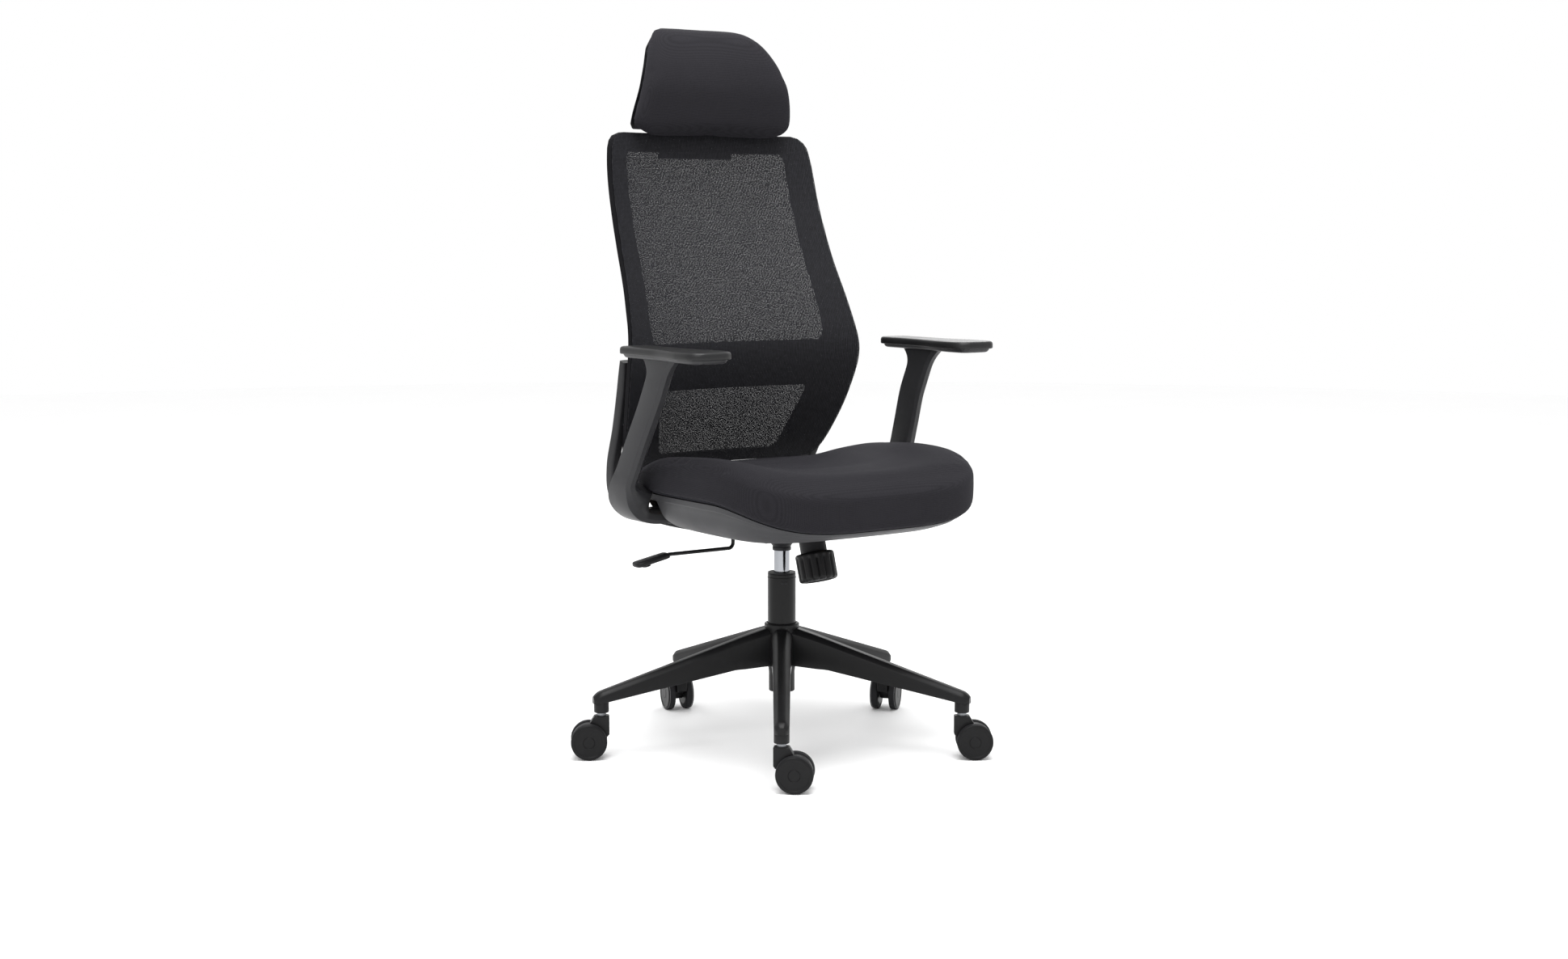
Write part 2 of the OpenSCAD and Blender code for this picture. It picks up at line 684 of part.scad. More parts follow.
module seat_board() {
    color("#b9925f") difference() {
        loft([for (z = [board_z, board_z + board_t]) seat_ring(BOARD_K, z, fall = 0)]);
        for (p = concat(plate_bolts(), yoke_bolts(), foot_bolts()))
            translate([p[0], p[1], board_z - 1]) cylinder(d = 8.1, h = board_t - 1);
    }
}

module seat_cushion() {
    low = board_z + board_t + GAP;
    color(CHARCOAL) loft([
        seat_ring(0.4, low, fall = 0), seat_ring(BOARD_K + 0.02, low, fall = 0),
        seat_ring(0.955, seam_z), seat_ring(0.99, seam_z + 8),
        seat_ring(1, seam_z + 24, 0.5), seat_ring(0.985, edge_z - 8, 1), seat_ring(0.955, edge_z, 1),
        seat_ring(0.9, edge_z + 3, 1), seat_ring(0.78, edge_z + 2, 1),
        seat_ring(0.55, edge_z - 0.6 * cushion_dish, 0.7), seat_ring(0.25, edge_z - cushion_dish, 0.5)]);
}

// The pan's bowl: share k of the outline, and h from 0 at its rim to 1 at its belly. It is shallow under
// the waterfall. The inner face is t inside the outer one.
function pan_ring(k, h, t) =
    [for (i = [0:SEAT_N - 1]) let(p = seat_at(360 * (i + 0.5) / SEAT_N, k - t / seat_half_w), d = drop(p[1]),
        deep = (seam_z - 4 - belly_z) * (1 - 0.9 * d / front_drop))
        [p[0], p[1], seam_z - 4 - d - h * deep + (h > 0 ? t : 0)]];

module pan_bowl(t) {
    top = pan_ring(0.955, 0, t);
    bowl = [pan_ring(0.3, 1, t), pan_ring(0.56, 1, t), pan_ring(0.74, 0.94, t), pan_ring(0.87, 0.66, t), top];
    loft(t > 0 ? concat(bowl, [[for (p = top) p + [0, 0, 2]]]) : bowl);
}

module seat_pan() {
    color("#4b4b4d") difference() {
        pan_bowl(0);
        pan_bowl(pan_wall);
        translate([-open_x, open_front, 0]) cube([2 * open_x, open_rear - open_front, 2000]);
        translate([drop_x - 16, lever_y - 16, 0]) cube([-open_x - drop_x + 17, 32, board_z - 8]);
        mirrored() translate([foot_in - 2, foot_y - foot_w / 2 - 16, board_z - foot_t - 5])
            cube([200, foot_w + 24, foot_t + 24]);
    }
}

module seat_bolts() {
    color(STEEL) {
        for (p = plate_bolts()) translate([p[0], p[1], top_z]) bolt(8, board_t, 5);
        for (p = yoke_bolts())
            translate([p[0], p[1], board_z - YOKE_ROOF]) bolt(8, YOKE_ROOF + board_t - 3, 5);
        for (p = foot_bolts()) translate([p[0], p[1], board_z - foot_t + 8]) bolt(8, foot_t, 5);
    }
}

// ---- arms ----------------------------------------------------------------------------------------

// The middle line of the right arm's blade, from under the pad down and in under the seat:
// out from the middle, fore and aft, and up from the seat board's underside
blade_path = [[0, -46, arm_rise - 17], [0, -37, 234], [2, -14, 186], [9, 10, 132], [15, 32, 82], [17, 48, 50],
    [6, 66, 20], [-18, 78, -1], [-52, foot_y, -11.5], [-92, foot_y, -12.5]];

module arm_blade() {
    n = 27;
    last = len(blade_path) - 1;
    at = function (s) let(p = spline(blade_path, s)) [arm_half + p[0], p[1], board_z + p[2]];
    ring = function (s) let(c = at(s), run = unit(at(min(1, s + 0.01)) - at(max(0, s - 0.01))),
        d = unit(mix([0, 0, -1], run, smooth(s / 0.16))),
        low = smooth((s - 0.55) / 0.3), w = unit([0, 1, 0] - d * d[1]), t = cross(d, w),
        flare = 56 * pow(max(0, 1 - s / 0.1), 2), ww = mix(blade_w, foot_w, low) + flare,
        thick = ARM_BEND * pow(max(0, 1 - pow((s - 0.6) / 0.14, 2)), 2),
        tt = mix(blade_t, foot_t, low) + thick)
        [for (q = squircle(ww, tt, 16, 4)) c + q[0] * w + (q[1] - thick / 2) * t - [0, 0.06 * flare, 0]];
    loft([for (k = [0:n]) ring(k / n)]);
}

module pad_outline(grow) {
    rear = 49;
    front = rear - pad_l;
    a = pad_w / 2;
    b = pad_front_w / 2;
    offset(r = 14 + grow, $fn = 40) offset(delta = -14) polygon([
        [a - 3, rear], [a, rear - 12], [a, rear - 0.5 * pad_l], [b, rear - 0.72 * pad_l], [b - 2, front + 24],
        [b - 20, front + 2], [-b + 22, front], [-b, front + 20], [-b + 2, rear - 0.72 * pad_l],
        [-a, rear - 0.5 * pad_l], [-a, rear - 12], [-a + 3, rear]]);
}

module arm(side) {
    color(CHARCOAL) mirror([side < 0 ? 1 : 0, 0, 0]) difference() {
        union() {
            arm_blade();
            translate([arm_half, 0, pad_top - pad_t - plate_h]) linear_extrude(plate_h) pad_outline(-6);
            translate([foot_in, foot_y - foot_w / 2, board_z - foot_t])
                cube([arm_half - 92 - foot_in + 8, foot_w, foot_t]);
        }
        translate([0, -200, board_z]) cube([arm_half - 60, 500, 40]);
        translate([arm_half - 80, -300, pad_top - pad_t]) cube([160, 600, 40]);
        for (p = foot_bolts()) translate([abs(p[0]), p[1], 0]) {
            translate([0, 0, board_z - foot_t - 1]) cylinder(d = 8.4, h = foot_t + 2);
            translate([0, 0, board_z - foot_t - 1]) cylinder(d = 16, h = 9);
        }
    }
}

module arm_pad(side) {
    color(BLACK) mirror([side < 0 ? 1 : 0, 0, 0]) translate([arm_half, 0, pad_top - pad_t]) {
        linear_extrude(pad_t - 3) pad_outline(0);
        translate([0, 0, pad_t - 3]) linear_extrude(1.5) pad_outline(-1.2);
        translate([0, 0, pad_t - 1.5]) linear_extrude(1.5) pad_outline(-3.4);
    }
}

// ---- back ----------------------------------------------------------------------------------------

// Fore-and-aft place of the back's middle line against the height's share, deepest at the lumbar
lumbar = [[0, 213], [0.1, 184], [0.22, 156], [0.36, 137], [0.5, 158], [0.66, 196], [0.82, 227], [1, 247]];
// Half widths of the outline, of the lower window and of the upper window, as shares of the greatest
outline = [[0, 0.83], [0.08, 0.9], [0.2, 0.965], [0.33, 1], [0.45, 0.97], [0.6, 0.925], [0.75, 0.9],
    [0.9, 0.88], [1, 0.84]];
window = [[0, 0.53], [0.06, 0.56], [0.16, 0.63], [0.25, 0.7], [0.4, 0.775], [0.6, 0.755], [0.8, 0.74],
    [1, 0.715]];

function thick(s) = frame_t * mix(0.83, 1, smooth((s - 0.35) / 0.4));
function back_y(x, s) = curve_at(lumbar, s) - wrap * pow(abs(x) / 230, 2.5);

// Share of the height at each row: windows and bands have rows of their own
ROW_S = concat(
    [for (i = [0:LOW_A]) 0.035 * i / LOW_A],
    [for (i = [1:LOW_B - LOW_A]) mix(0.035, 0.235, i / (LOW_B - LOW_A))],
    [for (i = [1:UP_A - LOW_B]) mix(0.235, 0.375, i / (UP_A - LOW_B))],
    [for (i = [1:UP_B - UP_A]) mix(0.375, 0.945, i / (UP_B - UP_A))],
    [for (i = [1:FROWS - UP_B]) mix(0.945, 1, i / (FROWS - UP_B))]);

// Rounded ends of a span: 1 along it, less over the last share r at either end
function ends(s, lo, hi, r) =
    let(d = min(s - lo, hi - s) / r) d >= 1 ? 0 : 1 - sqrt(max(0, 1 - pow(1 - max(0, d), 2)));

// A point of the back's face: row i, column j of FCOLS, set back by t
function back_point(i, j, t, grow = 0) =
    let(s = ROW_S[i], round = 26 * ends(s, 0, 1, 0.045), mid = FCOLS / 2,
        win = back_half * curve_at(window, s)
            - 16 * (s <= 0.3 ? ends(s, 0.035, 0.235, 0.03) : ends(s, 0.375, 0.945, 0.03)),
        out = back_half * curve_at(outline, s) - round + grow,
        c = abs(j - mid), side = sign(j - mid),
        x = side * (c <= mid - RAIL ? win * c / (mid - RAIL) : mix(win, out, (c - mid + RAIL) / RAIL)))
    [x, back_y(x, s) + t, back_z + s * back_h];

function in_window(i, j) =
    j >= RAIL && j < FCOLS - RAIL && ((i >= LOW_A && i < LOW_B) || (i >= UP_A && i < UP_B));

module back_frame() {
    color("#1d1d21") difference() {
        sheet_over(FROWS, FCOLS,
            function (i, j, s) back_point(i, j, s * thick(ROW_S[i])),
            function (i, j) !in_window(i, j));
        for (p = screw_spots()) translate(p) rotate([90, 0, 0]) cylinder(d = 5.05, h = 12, center = true);
    }
}

module back_mesh() {
    color("#4a4a4e") sheet_over(FROWS, FCOLS,
        function (i, j, s) back_point(i, j, (s - 1) * mesh_t - 0.01),
        function (i, j) true);
}

// Where the uprights are screwed to the frame's side rails
function screw_spots() = [for (x = [-1, 1], q = [[0.14, 24], [0.27, 19]]) let(px = x * (back_half - q[1]))
    [px, back_y(px, q[0]) + thick(q[0]), back_z + q[0] * back_h]];

// The middle line of the right upright: from behind the lumbar bulge down and in under the seat;
// out from the middle, fore and aft, and up from the seat board's underside
on_frame = function (x, z, off) let(s = (board_z + z - back_z) / back_h)
    [x, back_y(back_half + x, s) + thick(s) + off, z];
yoke_path = [on_frame(-14, 253, 17.5), on_frame(-17, 200, 16.5), on_frame(-22, 130, 13.9), [-29, 214, 62],
    [-46, 236, 8], [-80, 240, -19], [-120, 219, -38], [-164, 173, -50], [-202, 128, -53]];

module yoke_arm() {
    n = 26;
    at = function (s) let(p = spline(yoke_path, s)) [back_half + p[0], p[1], board_z + p[2]];
    ring = function (s) let(c = at(s), d = unit(at(min(1, s + 0.01)) - at(max(0, s - 0.01))),
        low = smooth((s - 0.45) / 0.35), hint = mix([0, 1, 0], [-0.62, 0.78, 0], low),
        w = unit(hint - d * (hint * d)), t = cross(d, w),
        ww = mix(22, 58, low) - 6 * pow(max(0, 1 - s / 0.12), 2), tt = mix(17, 11, low))
        [for (q = squircle(ww, tt, 12, 4)) c + q[0] * w + q[1] * t];
    loft([for (k = [0:n]) ring(k / n)]);
}

module back_yoke() {
    block = [open_x - 8, 84, open_rear - 4];
    color(CHARCOAL) difference() {
        union() {
            mirrored() yoke_arm();
            translate([-block[0], block[1], board_z - YOKE_H])
                cube([2 * block[0], block[2] - block[1], YOKE_H]);
        }
        translate([-block[0] + 5, block[1] + 5, board_z - YOKE_H - 1])
            cube([2 * block[0] - 10, block[2] - block[1] - 10, YOKE_H + 1 - YOKE_ROOF]);
        for (p = yoke_bolts()) translate([p[0], p[1], board_z - 14]) cylinder(d = 8.4, h = 20);
        for (p = screw_spots()) translate(p) rotate([-90, 0, 0]) {
            cylinder(d = 5.4, h = 80);
            translate([0, 0, SCREW_SEAT]) cylinder(d = 11, h = 80);
        }
    }
}

module back_screws() {
    color(STEEL) for (p = screw_spots()) translate(p) rotate([-90, 0, 0]) {
        translate([0, 0, -6]) cylinder(d = 5, h = SCREW_SEAT + 7);
        translate([0, 0, SCREW_SEAT]) cylinder(d = 10, h = 3);
    }
}

// ---- headrest ------------------------------------------------------------------------------------

module headrest_bracket() {
    low = back_z + 0.928 * back_h;
    color("#18181b") difference() {
        hull() {
            translate([-78, rail_y + GAP, low]) cube([156, 6, 30]);
            translate([-60, rail_y + GAP, low]) cube([120, 20, back_top - low - 4]);
        }
        translate([-mast_w / 2 - 0.02, rail_y + 5, low + 5]) cube([mast_w + 0.04, mast_t + 0.04, 200]);
    }
}

module headrest_mast() {
    low = back_z + 0.928 * back_h + 5;
    color("#18181b") translate([-mast_w / 2, rail_y + 5.02, low]) cube([mast_w, mast_t, mast_top - low]);
}

module headrest_slider() {
    color(BLACK) difference() {
        union() {
            translate([-mast_w / 2 - 8, rail_y - 1, hinge_z - slide_h / 2])
                cube([mast_w + 16, mast_t + 12, slide_h]);
            translate([-14, rail_y - 12, hinge_z - 8]) cube([28, 14, 16]);
            translate([-14, rail_y - 12, hinge_z]) rotate([0, 90, 0]) cylinder(d = 16, h = 28);
        }
        translate([-mast_w / 2 - GAP, rail_y + 5.02 - GAP, hinge_z - 100])
            cube([mast_w + 2 * GAP, mast_t + 2 * GAP, 200]);
        translate([0, rail_y - 12, hinge_z]) rotate([0, 90, 0]) cylinder(d = 6, h = 80, center = true);
    }
}

module headrest_pin() {
    color(STEEL) translate([0, rail_y - 12, hinge_z]) rotate([0, 90, 0])
        cylinder(d = 6, h = 50, center = true);
}

// By share of the headrest's height: how far it has narrowed to its top width, and how far it leans back
head_narrow = [[0, 0], [0.15, 0], [0.4, 0.126], [0.6, 0.291], [0.75, 0.448], [0.87, 0.621], [0.95, 0.807],
    [1, 1]];
head_lean = [[0, 8], [0.06, 5], [0.15, 0], [0.4, -11], [0.6, -6.3], [0.75, 4], [0.87, 15.5], [0.95, 27],
    [1, 38]];

// Section across the headrest at the share s of its height; k scales its front half's width, front and
// rear are its depths on either side of the line where pad and shell meet, and sag lowers its front lip
function head_ring(s, k, front, rear, sag = 0) =
    let(w = mix(head_w, head_top_w, curve_at(head_narrow, s)), lean = curve_at(head_lean, s), n = 28)
    [for (q = squircle(1, 1, n, 3.3)) let(x = q[0] * w * (q[1] < 0 ? k : mix(k, 1, 0.8)),
        hug = HEAD_HUG * pow(abs(x) / 160, 2.2), lip = q[1] < 0 ? sag * 4 * q[1] * q[1] * pow(1 - s, 4) : 0)
        [x, rail_y - 26 + lean + 2 * q[1] * (q[1] < 0 ? front : rear) - hug, head_z + s * head_h - lip]];

module headrest_pad() {
    steps = [[0, 0.8, 0.5], [0.02, 0.92, 0.75], [0.06, 0.985, 0.94], [0.12, 1, 1], [0.3, 1, 1], [0.5, 1, 1],
        [0.68, 1, 0.97], [0.82, 0.995, 0.9], [0.91, 0.98, 0.8], [0.97, 0.95, 0.62], [1, 0.88, 0.38]];
    color(CHARCOAL) loft([for (q = steps) head_ring(q[0], q[1], q[2] * (head_t - 14), q[2] * 4, HEAD_SAG)]);
}

module headrest_shell() {
    steps = [[0.02, 0.9, 4], [0.06, 0.95, 8], [0.12, 0.95, 8], [0.3, 0.95, 8], [0.5, 0.94, 8],
        [0.68, 0.93, 8], [0.82, 0.9, 7], [0.91, 0.84, 4]];
    color(BLACK) difference() {
        union() {
            loft([for (q = steps) [for (p = head_ring(q[0], q[1], 0, q[2])) p + [0, 6, 0]]], bent = true);
            for (x = [-24, 15]) translate([x, rail_y - 26, hinge_z - 9]) cube([9, 22, 18]);
        }
        translate([0, rail_y - 12, hinge_z]) rotate([0, 90, 0])
            cylinder(d = 6 + 2 * RUN, h = 80, center = true);
        translate([-15, rail_y - 12, hinge_z]) rotate([0, 90, 0]) cylinder(d = 17.2, h = 30);
    }
}

// ---- what is drawn -------------------------------------------------------------------------------

base_star();
column_tube();
guide_bush();
thrust_bearing();
piston_rod();
stop_bumper();
retaining_clip();
gas_cylinder();
column_collar();
tilt_housing();
tilt_axle();
spring_cup();
tension_spring();
tension_screw();
tension_knob();
spring_nut();
valve_button();
lever_cradle();
lever_rod();
lever_paddle();
top_plate();
seat_board();
seat_pan();
seat_cushion();
seat_bolts();
arm(-1);  // arm_left
arm(1);  // arm_right
arm_pad(-1);  // arm_pad_left
arm_pad(1);  // arm_pad_right
back_yoke();
back_frame();
back_mesh();
back_screws();
headrest_bracket();
headrest_mast();
headrest_slider();
headrest_pin();
headrest_shell();
headrest_pad();
caster_stems();
for (i = [0:LEGS - 1]) {
    caster_fork(i);
    caster_axle(i);
    caster_wheel(i, -1);
    caster_wheel(i, 1);
}
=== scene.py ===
"""Looks of a swivel office chair: mesh back, padded seat and headrest, fixed arms, star base on casters.

Lengths in the classes are millimetres in the chair's own frame: X right, Y back, Z up, origin on the
floor below the gas column. A Form turns them into metres when it becomes a piece.
"""

import logging
import math
from dataclasses import dataclass
from enum import Enum
from typing import Callable, Iterable, Optional, Sequence

import bmesh
import bpy
import numpy as np
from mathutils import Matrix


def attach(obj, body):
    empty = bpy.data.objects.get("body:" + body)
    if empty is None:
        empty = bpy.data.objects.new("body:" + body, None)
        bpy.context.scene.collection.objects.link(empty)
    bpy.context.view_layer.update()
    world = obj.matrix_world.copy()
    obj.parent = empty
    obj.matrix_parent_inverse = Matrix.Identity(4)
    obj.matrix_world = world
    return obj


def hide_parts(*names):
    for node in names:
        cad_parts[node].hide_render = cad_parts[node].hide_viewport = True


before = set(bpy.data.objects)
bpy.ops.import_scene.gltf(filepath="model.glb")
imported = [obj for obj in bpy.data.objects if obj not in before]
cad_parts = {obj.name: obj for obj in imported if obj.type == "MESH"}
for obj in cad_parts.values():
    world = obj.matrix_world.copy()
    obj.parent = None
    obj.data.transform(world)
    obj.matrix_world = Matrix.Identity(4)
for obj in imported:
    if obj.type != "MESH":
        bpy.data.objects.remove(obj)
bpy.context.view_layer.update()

LOG = logging.getLogger("chair")
MM = 0.001
Array = np.ndarray


# ---- curves and surfaces -------------------------------------------------------------------------


def smooth(t: Array) -> Array:
    """An S-curve from 0 to 1: three t squared less two t cubed, with t held between 0 and 1."""
    c = np.clip(t, 0.0, 1.0)
    return c * c * (3.0 - 2.0 * c)


def spline(points: Sequence[Sequence[float]], s: Array) -> Array:
    """Points of a smooth curve through given points.

    Formula: a uniform Catmull-Rom curve, whose tangent at each point is half the step between that
    point's two neighbours; the ends are continued in a straight line.

    Args:
        points: The points the curve goes through, one row each.
        s: Shares of the curve from 0 at the first point to 1 at the last.

    Returns:
        One row for each share.
    """
    p = np.asarray(points, float)
    p = np.vstack([2 * p[0] - p[1], p, 2 * p[-1] - p[-2]])
    n = len(points) - 1
    f = np.clip(np.asarray(s, float), 0, 1) * n
    i = np.minimum(f.astype(int), n - 1)
    t = (f - i)[:, None]
    a, b, c, d = p[i], p[i + 1], p[i + 2], p[i + 3]
    return 0.5 * (2 * b + (c - a) * t + (2 * a - 5 * b + 4 * c - d) * t**2 + (3 * b - a - 3 * c + d) * t**3)


def curve_at(points: Sequence[Sequence[float]], x: Array) -> Array:
    """Height of the smooth curve through points where its first coordinate is x, by a dense table."""
    table = spline(points, np.linspace(0, 1, 800))
    return np.interp(x, table[:, 0], table[:, 1])


def squircle(count: int, exponent: float, phase: float = 0.5) -> Array:
    """A rounded square of side 1 about the origin.

    Formula: half the sign of the cosine times its size to the power two over the exponent, and the
    same with the sine.

    Args:
        count: How many points it has.
        exponent: 2 is a circle, larger is squarer.
        phase: Where the first point lies, in steps.

    Returns:
        An array of count rows of two.
    """
    a = 2 * np.pi * (np.arange(count) + phase) / count
    c, s = np.cos(a), np.sin(a)
    e = 2.0 / exponent
    return 0.5 * np.stack([np.sign(c) * np.abs(c) ** e, np.sign(s) * np.abs(s) ** e], axis=1)


def turned(points: Array, degrees: float, axis: str = "z") -> Array:
    """Points turned about an axis through the origin by the right-hand rule."""
    a = math.radians(degrees)
    c, s = math.cos(a), math.sin(a)
    rows = {
        "x": [[1, 0, 0], [0, c, -s], [0, s, c]],
        "y": [[c, 0, s], [0, 1, 0], [-s, 0, c]],
        "z": [[c, -s, 0], [s, c, 0], [0, 0, 1]],
    }[axis]
    return points @ np.array(rows, float).T


def swept(at: Array, wide: Array, thin: Array, width: Array, thick: Array, section: Array) -> Array:
    """Rings of one section carried along a path.

    Args:
        at: The path's points, one row each.
        wide: The direction of the section's width at each point.
        thin: The direction of its thickness at each point.
        width: The section's width at each point.
        thick: Its thickness at each point.
        section: The section's outline in a square of side 1.

    Returns:
        Rings by points by three.
    """
    across = (width[:, None] * section[:, 0])[..., None] * wide[:, None]
    return at[:, None] + across + (thick[:, None] * section[:, 1])[..., None] * thin[:, None]


@dataclass
class Form:
    """A mesh in the making: points in millimetres, faces as rows of point numbers, and optional UVs."""

    points: Array
    faces: list[Array]
    uv: Optional[Array] = None

    @staticmethod
    def grid(
        points: Array, closed_u: bool = False, closed_v: bool = False, keep: Optional[Array] = None
    ) -> "Form":
        """A surface through a grid of points.

        Args:
            points: Rows by columns by three.
            closed_u: The last row joins the first.
            closed_v: The last column joins the first.
            keep: Which cells are solid, where the surface has windows.

        Returns:
            The form, with one quad for each cell.
        """
        rows, cols = points.shape[:2]
        down = np.arange(rows if closed_u else rows - 1)
        i, j = np.meshgrid(down, np.arange(cols if closed_v else cols - 1), indexing="ij")
        quads = np.stack(
            [
                i * cols + j,
                i * cols + (j + 1) % cols,
                ((i + 1) % rows) * cols + (j + 1) % cols,
                ((i + 1) % rows) * cols + j,
            ],
            axis=-1,
        )
        chosen = quads[keep] if keep is not None else quads.reshape(-1, 4)
        return Form(points.reshape(-1, 3), [chosen])

    @staticmethod
    def loft(rings: Array) -> "Form":
        """A closed solid through rings with equally many points; each end closes onto its middle."""
        rings = np.asarray(rings, float)
        count = rings.shape[1]
        ends = [np.repeat(rings[k].mean(0)[None], count, 0)[None] for k in (0, -1)]
        return Form.grid(np.concatenate([ends[0], rings, ends[1]]), closed_v=True)

    @staticmethod
    def lathe(
        profile: Sequence[Sequence[float]], steps: int = 72, ripple: Optional[Callable] = None
    ) -> "Form":
        """A solid turned about Z.

        Formula: each profile point (r, z) becomes a ring of radius r at height z; ripple, where given,
        changes the radius by angle and height.

        Args:
            profile: Points (r, z) from the lower end to the upper one.
            steps: Points in each ring.
            ripple: A function of (angle, r, z) that gives the radius.

        Returns:
            The closed form.
        """
        p = np.asarray(profile, float)
        a = 2 * np.pi * np.arange(steps) / steps
        angle, r = np.meshgrid(a, p[:, 0])
        z = np.repeat(p[:, 1][:, None], steps, 1)
        if ripple is not None:
            r = ripple(angle, r, z)
        return Form.loft(np.stack([r * np.cos(angle), r * np.sin(angle), z], axis=-1))

    @staticmethod
    def ring(profile: Sequence[Sequence[float]], steps: int = 72) -> "Form":
        """A ring turned about Z from a closed profile of points (r, z) that doesn't meet the axis."""
        p = np.asarray(profile, float)
        a = 2 * np.pi * np.arange(steps) / steps
        x, y = np.outer(p[:, 0], np.cos(a)), np.outer(p[:, 0], np.sin(a))
        z = np.repeat(p[:, 1][:, None], steps, 1)
        return Form.grid(np.stack([x, y, z], -1), closed_u=True, closed_v=True)

    @staticmethod
    def tube(path: Array, radius: float, sides: int = 12, closed: bool = False) -> "Form":
        """A round tube along a path.

        Formula: at each path point a circle is laid square to the path, its first direction carried
        on from the last by taking away the part along the path.

        Args:
            path: Points, one row each.
            radius: The tube's radius.
            sides: Points around it.
            closed: The path is a loop.

        Returns:
            The closed form.
        """
        path = np.asarray(path, float)
        step = np.roll(path, -1, 0) - np.roll(path, 1, 0) if closed else np.gradient(path, axis=0)
        run = step / np.linalg.norm(step, axis=1)[:, None]
        hint = np.array([0.0, 0.0, 1.0]) if abs(run[:, 2]).max() < 0.9 else np.array([0.31, 0.92, 0.21])
        side = np.cross(run, hint)
        side /= np.linalg.norm(side, axis=1)[:, None]
        up = np.cross(side, run)
        a = 2 * np.pi * np.arange(sides) / sides
        round_it = np.cos(a)[None, :, None] * side[:, None] + np.sin(a)[None, :, None] * up[:, None]
        rings = path[:, None] + radius * round_it
        return Form.grid(rings, closed_u=True, closed_v=True) if closed else Form.loft(rings)

    @staticmethod
    def thick(face: Array, back: Array, keep: Optional[Array] = None) -> "Form":
        """A closed sheet between two grids of points; keep says which cells are solid.

        Args:
            face: Rows by columns by three, the front surface.
            back: The same for the back surface.
            keep: Rows less one by columns less one of True and False.

        Returns:
            The form with its rims closed.
        """
        rows, cols = face.shape[:2]
        keep = np.ones((rows - 1, cols - 1), bool) if keep is None else keep
        count = rows * cols
        ids = np.arange(count).reshape(rows, cols)
        front = Form.grid(face, keep=keep).faces[0]
        faces = [front, front[:, ::-1] + count]
        solid = np.pad(keep, 1)
        sides = (
            (0, -1, (0, 0), (1, 0)), (0, 1, (1, 1), (0, 1)), (-1, 0, (0, 1), (0, 0)), (1, 0, (1, 0), (1, 1)),
        )
        for di, dj, a, b in sides:
            other = solid[1 + di : rows + di, 1 + dj : cols + dj]
            i, j = np.nonzero(keep & ~other)
            p, q = ids[i + a[0], j + a[1]], ids[i + b[0], j + b[1]]
            faces.append(np.stack([p, q, q + count, p + count], axis=1))
        return Form(np.concatenate([face.reshape(-1, 3), back.reshape(-1, 3)]), faces)

    @staticmethod
    def block(
        low: Sequence[float], high: Sequence[float], edge: float = 1.0, exponent: float = 12.0
    ) -> "Form":
        """A box with eased edges: a stack of near-square rings that draw in at both ends by edge."""
        lo, hi = np.asarray(low, float), np.asarray(high, float)
        size, mid = hi - lo, (hi + lo) / 2
        count = 40
        flat = squircle(count, exponent)
        rows = [(0.0, edge), (0.3 * edge, 0.3 * edge), (edge, 0.0)]
        rows += [(size[2] - z, d) for z, d in reversed(rows)]
        rings = [
            np.column_stack([mid[:2] + flat * (size[:2] - 2 * d), np.full(count, lo[2] + z)]) for z, d in rows
        ]
        return Form.loft(np.array(rings))

    @staticmethod
    def joined(forms: Iterable["Form"]) -> "Form":
        """Several forms as one."""
        points, faces, base = [], [], 0
        for form in forms:
            points.append(form.points)
            faces += [f + base for f in form.faces]
            base += len(form.points)
        return Form(np.concatenate(points), faces)

    def moved(self, x: float = 0.0, y: float = 0.0, z: float = 0.0) -> "Form":
        """A copy moved by x, y and z."""
        return Form(self.points + np.array([x, y, z]), self.faces, self.uv)

    def turned(self, degrees: float, axis: str = "z") -> "Form":
        """A copy turned about an axis through the origin."""
        return Form(turned(self.points, degrees, axis), self.faces, self.uv)

    def mirrored(self) -> "Form":
        """A copy mirrored left to right; its faces are turned right way out when it becomes a piece."""
        return Form(self.points * np.array([-1.0, 1.0, 1.0]), self.faces, self.uv)


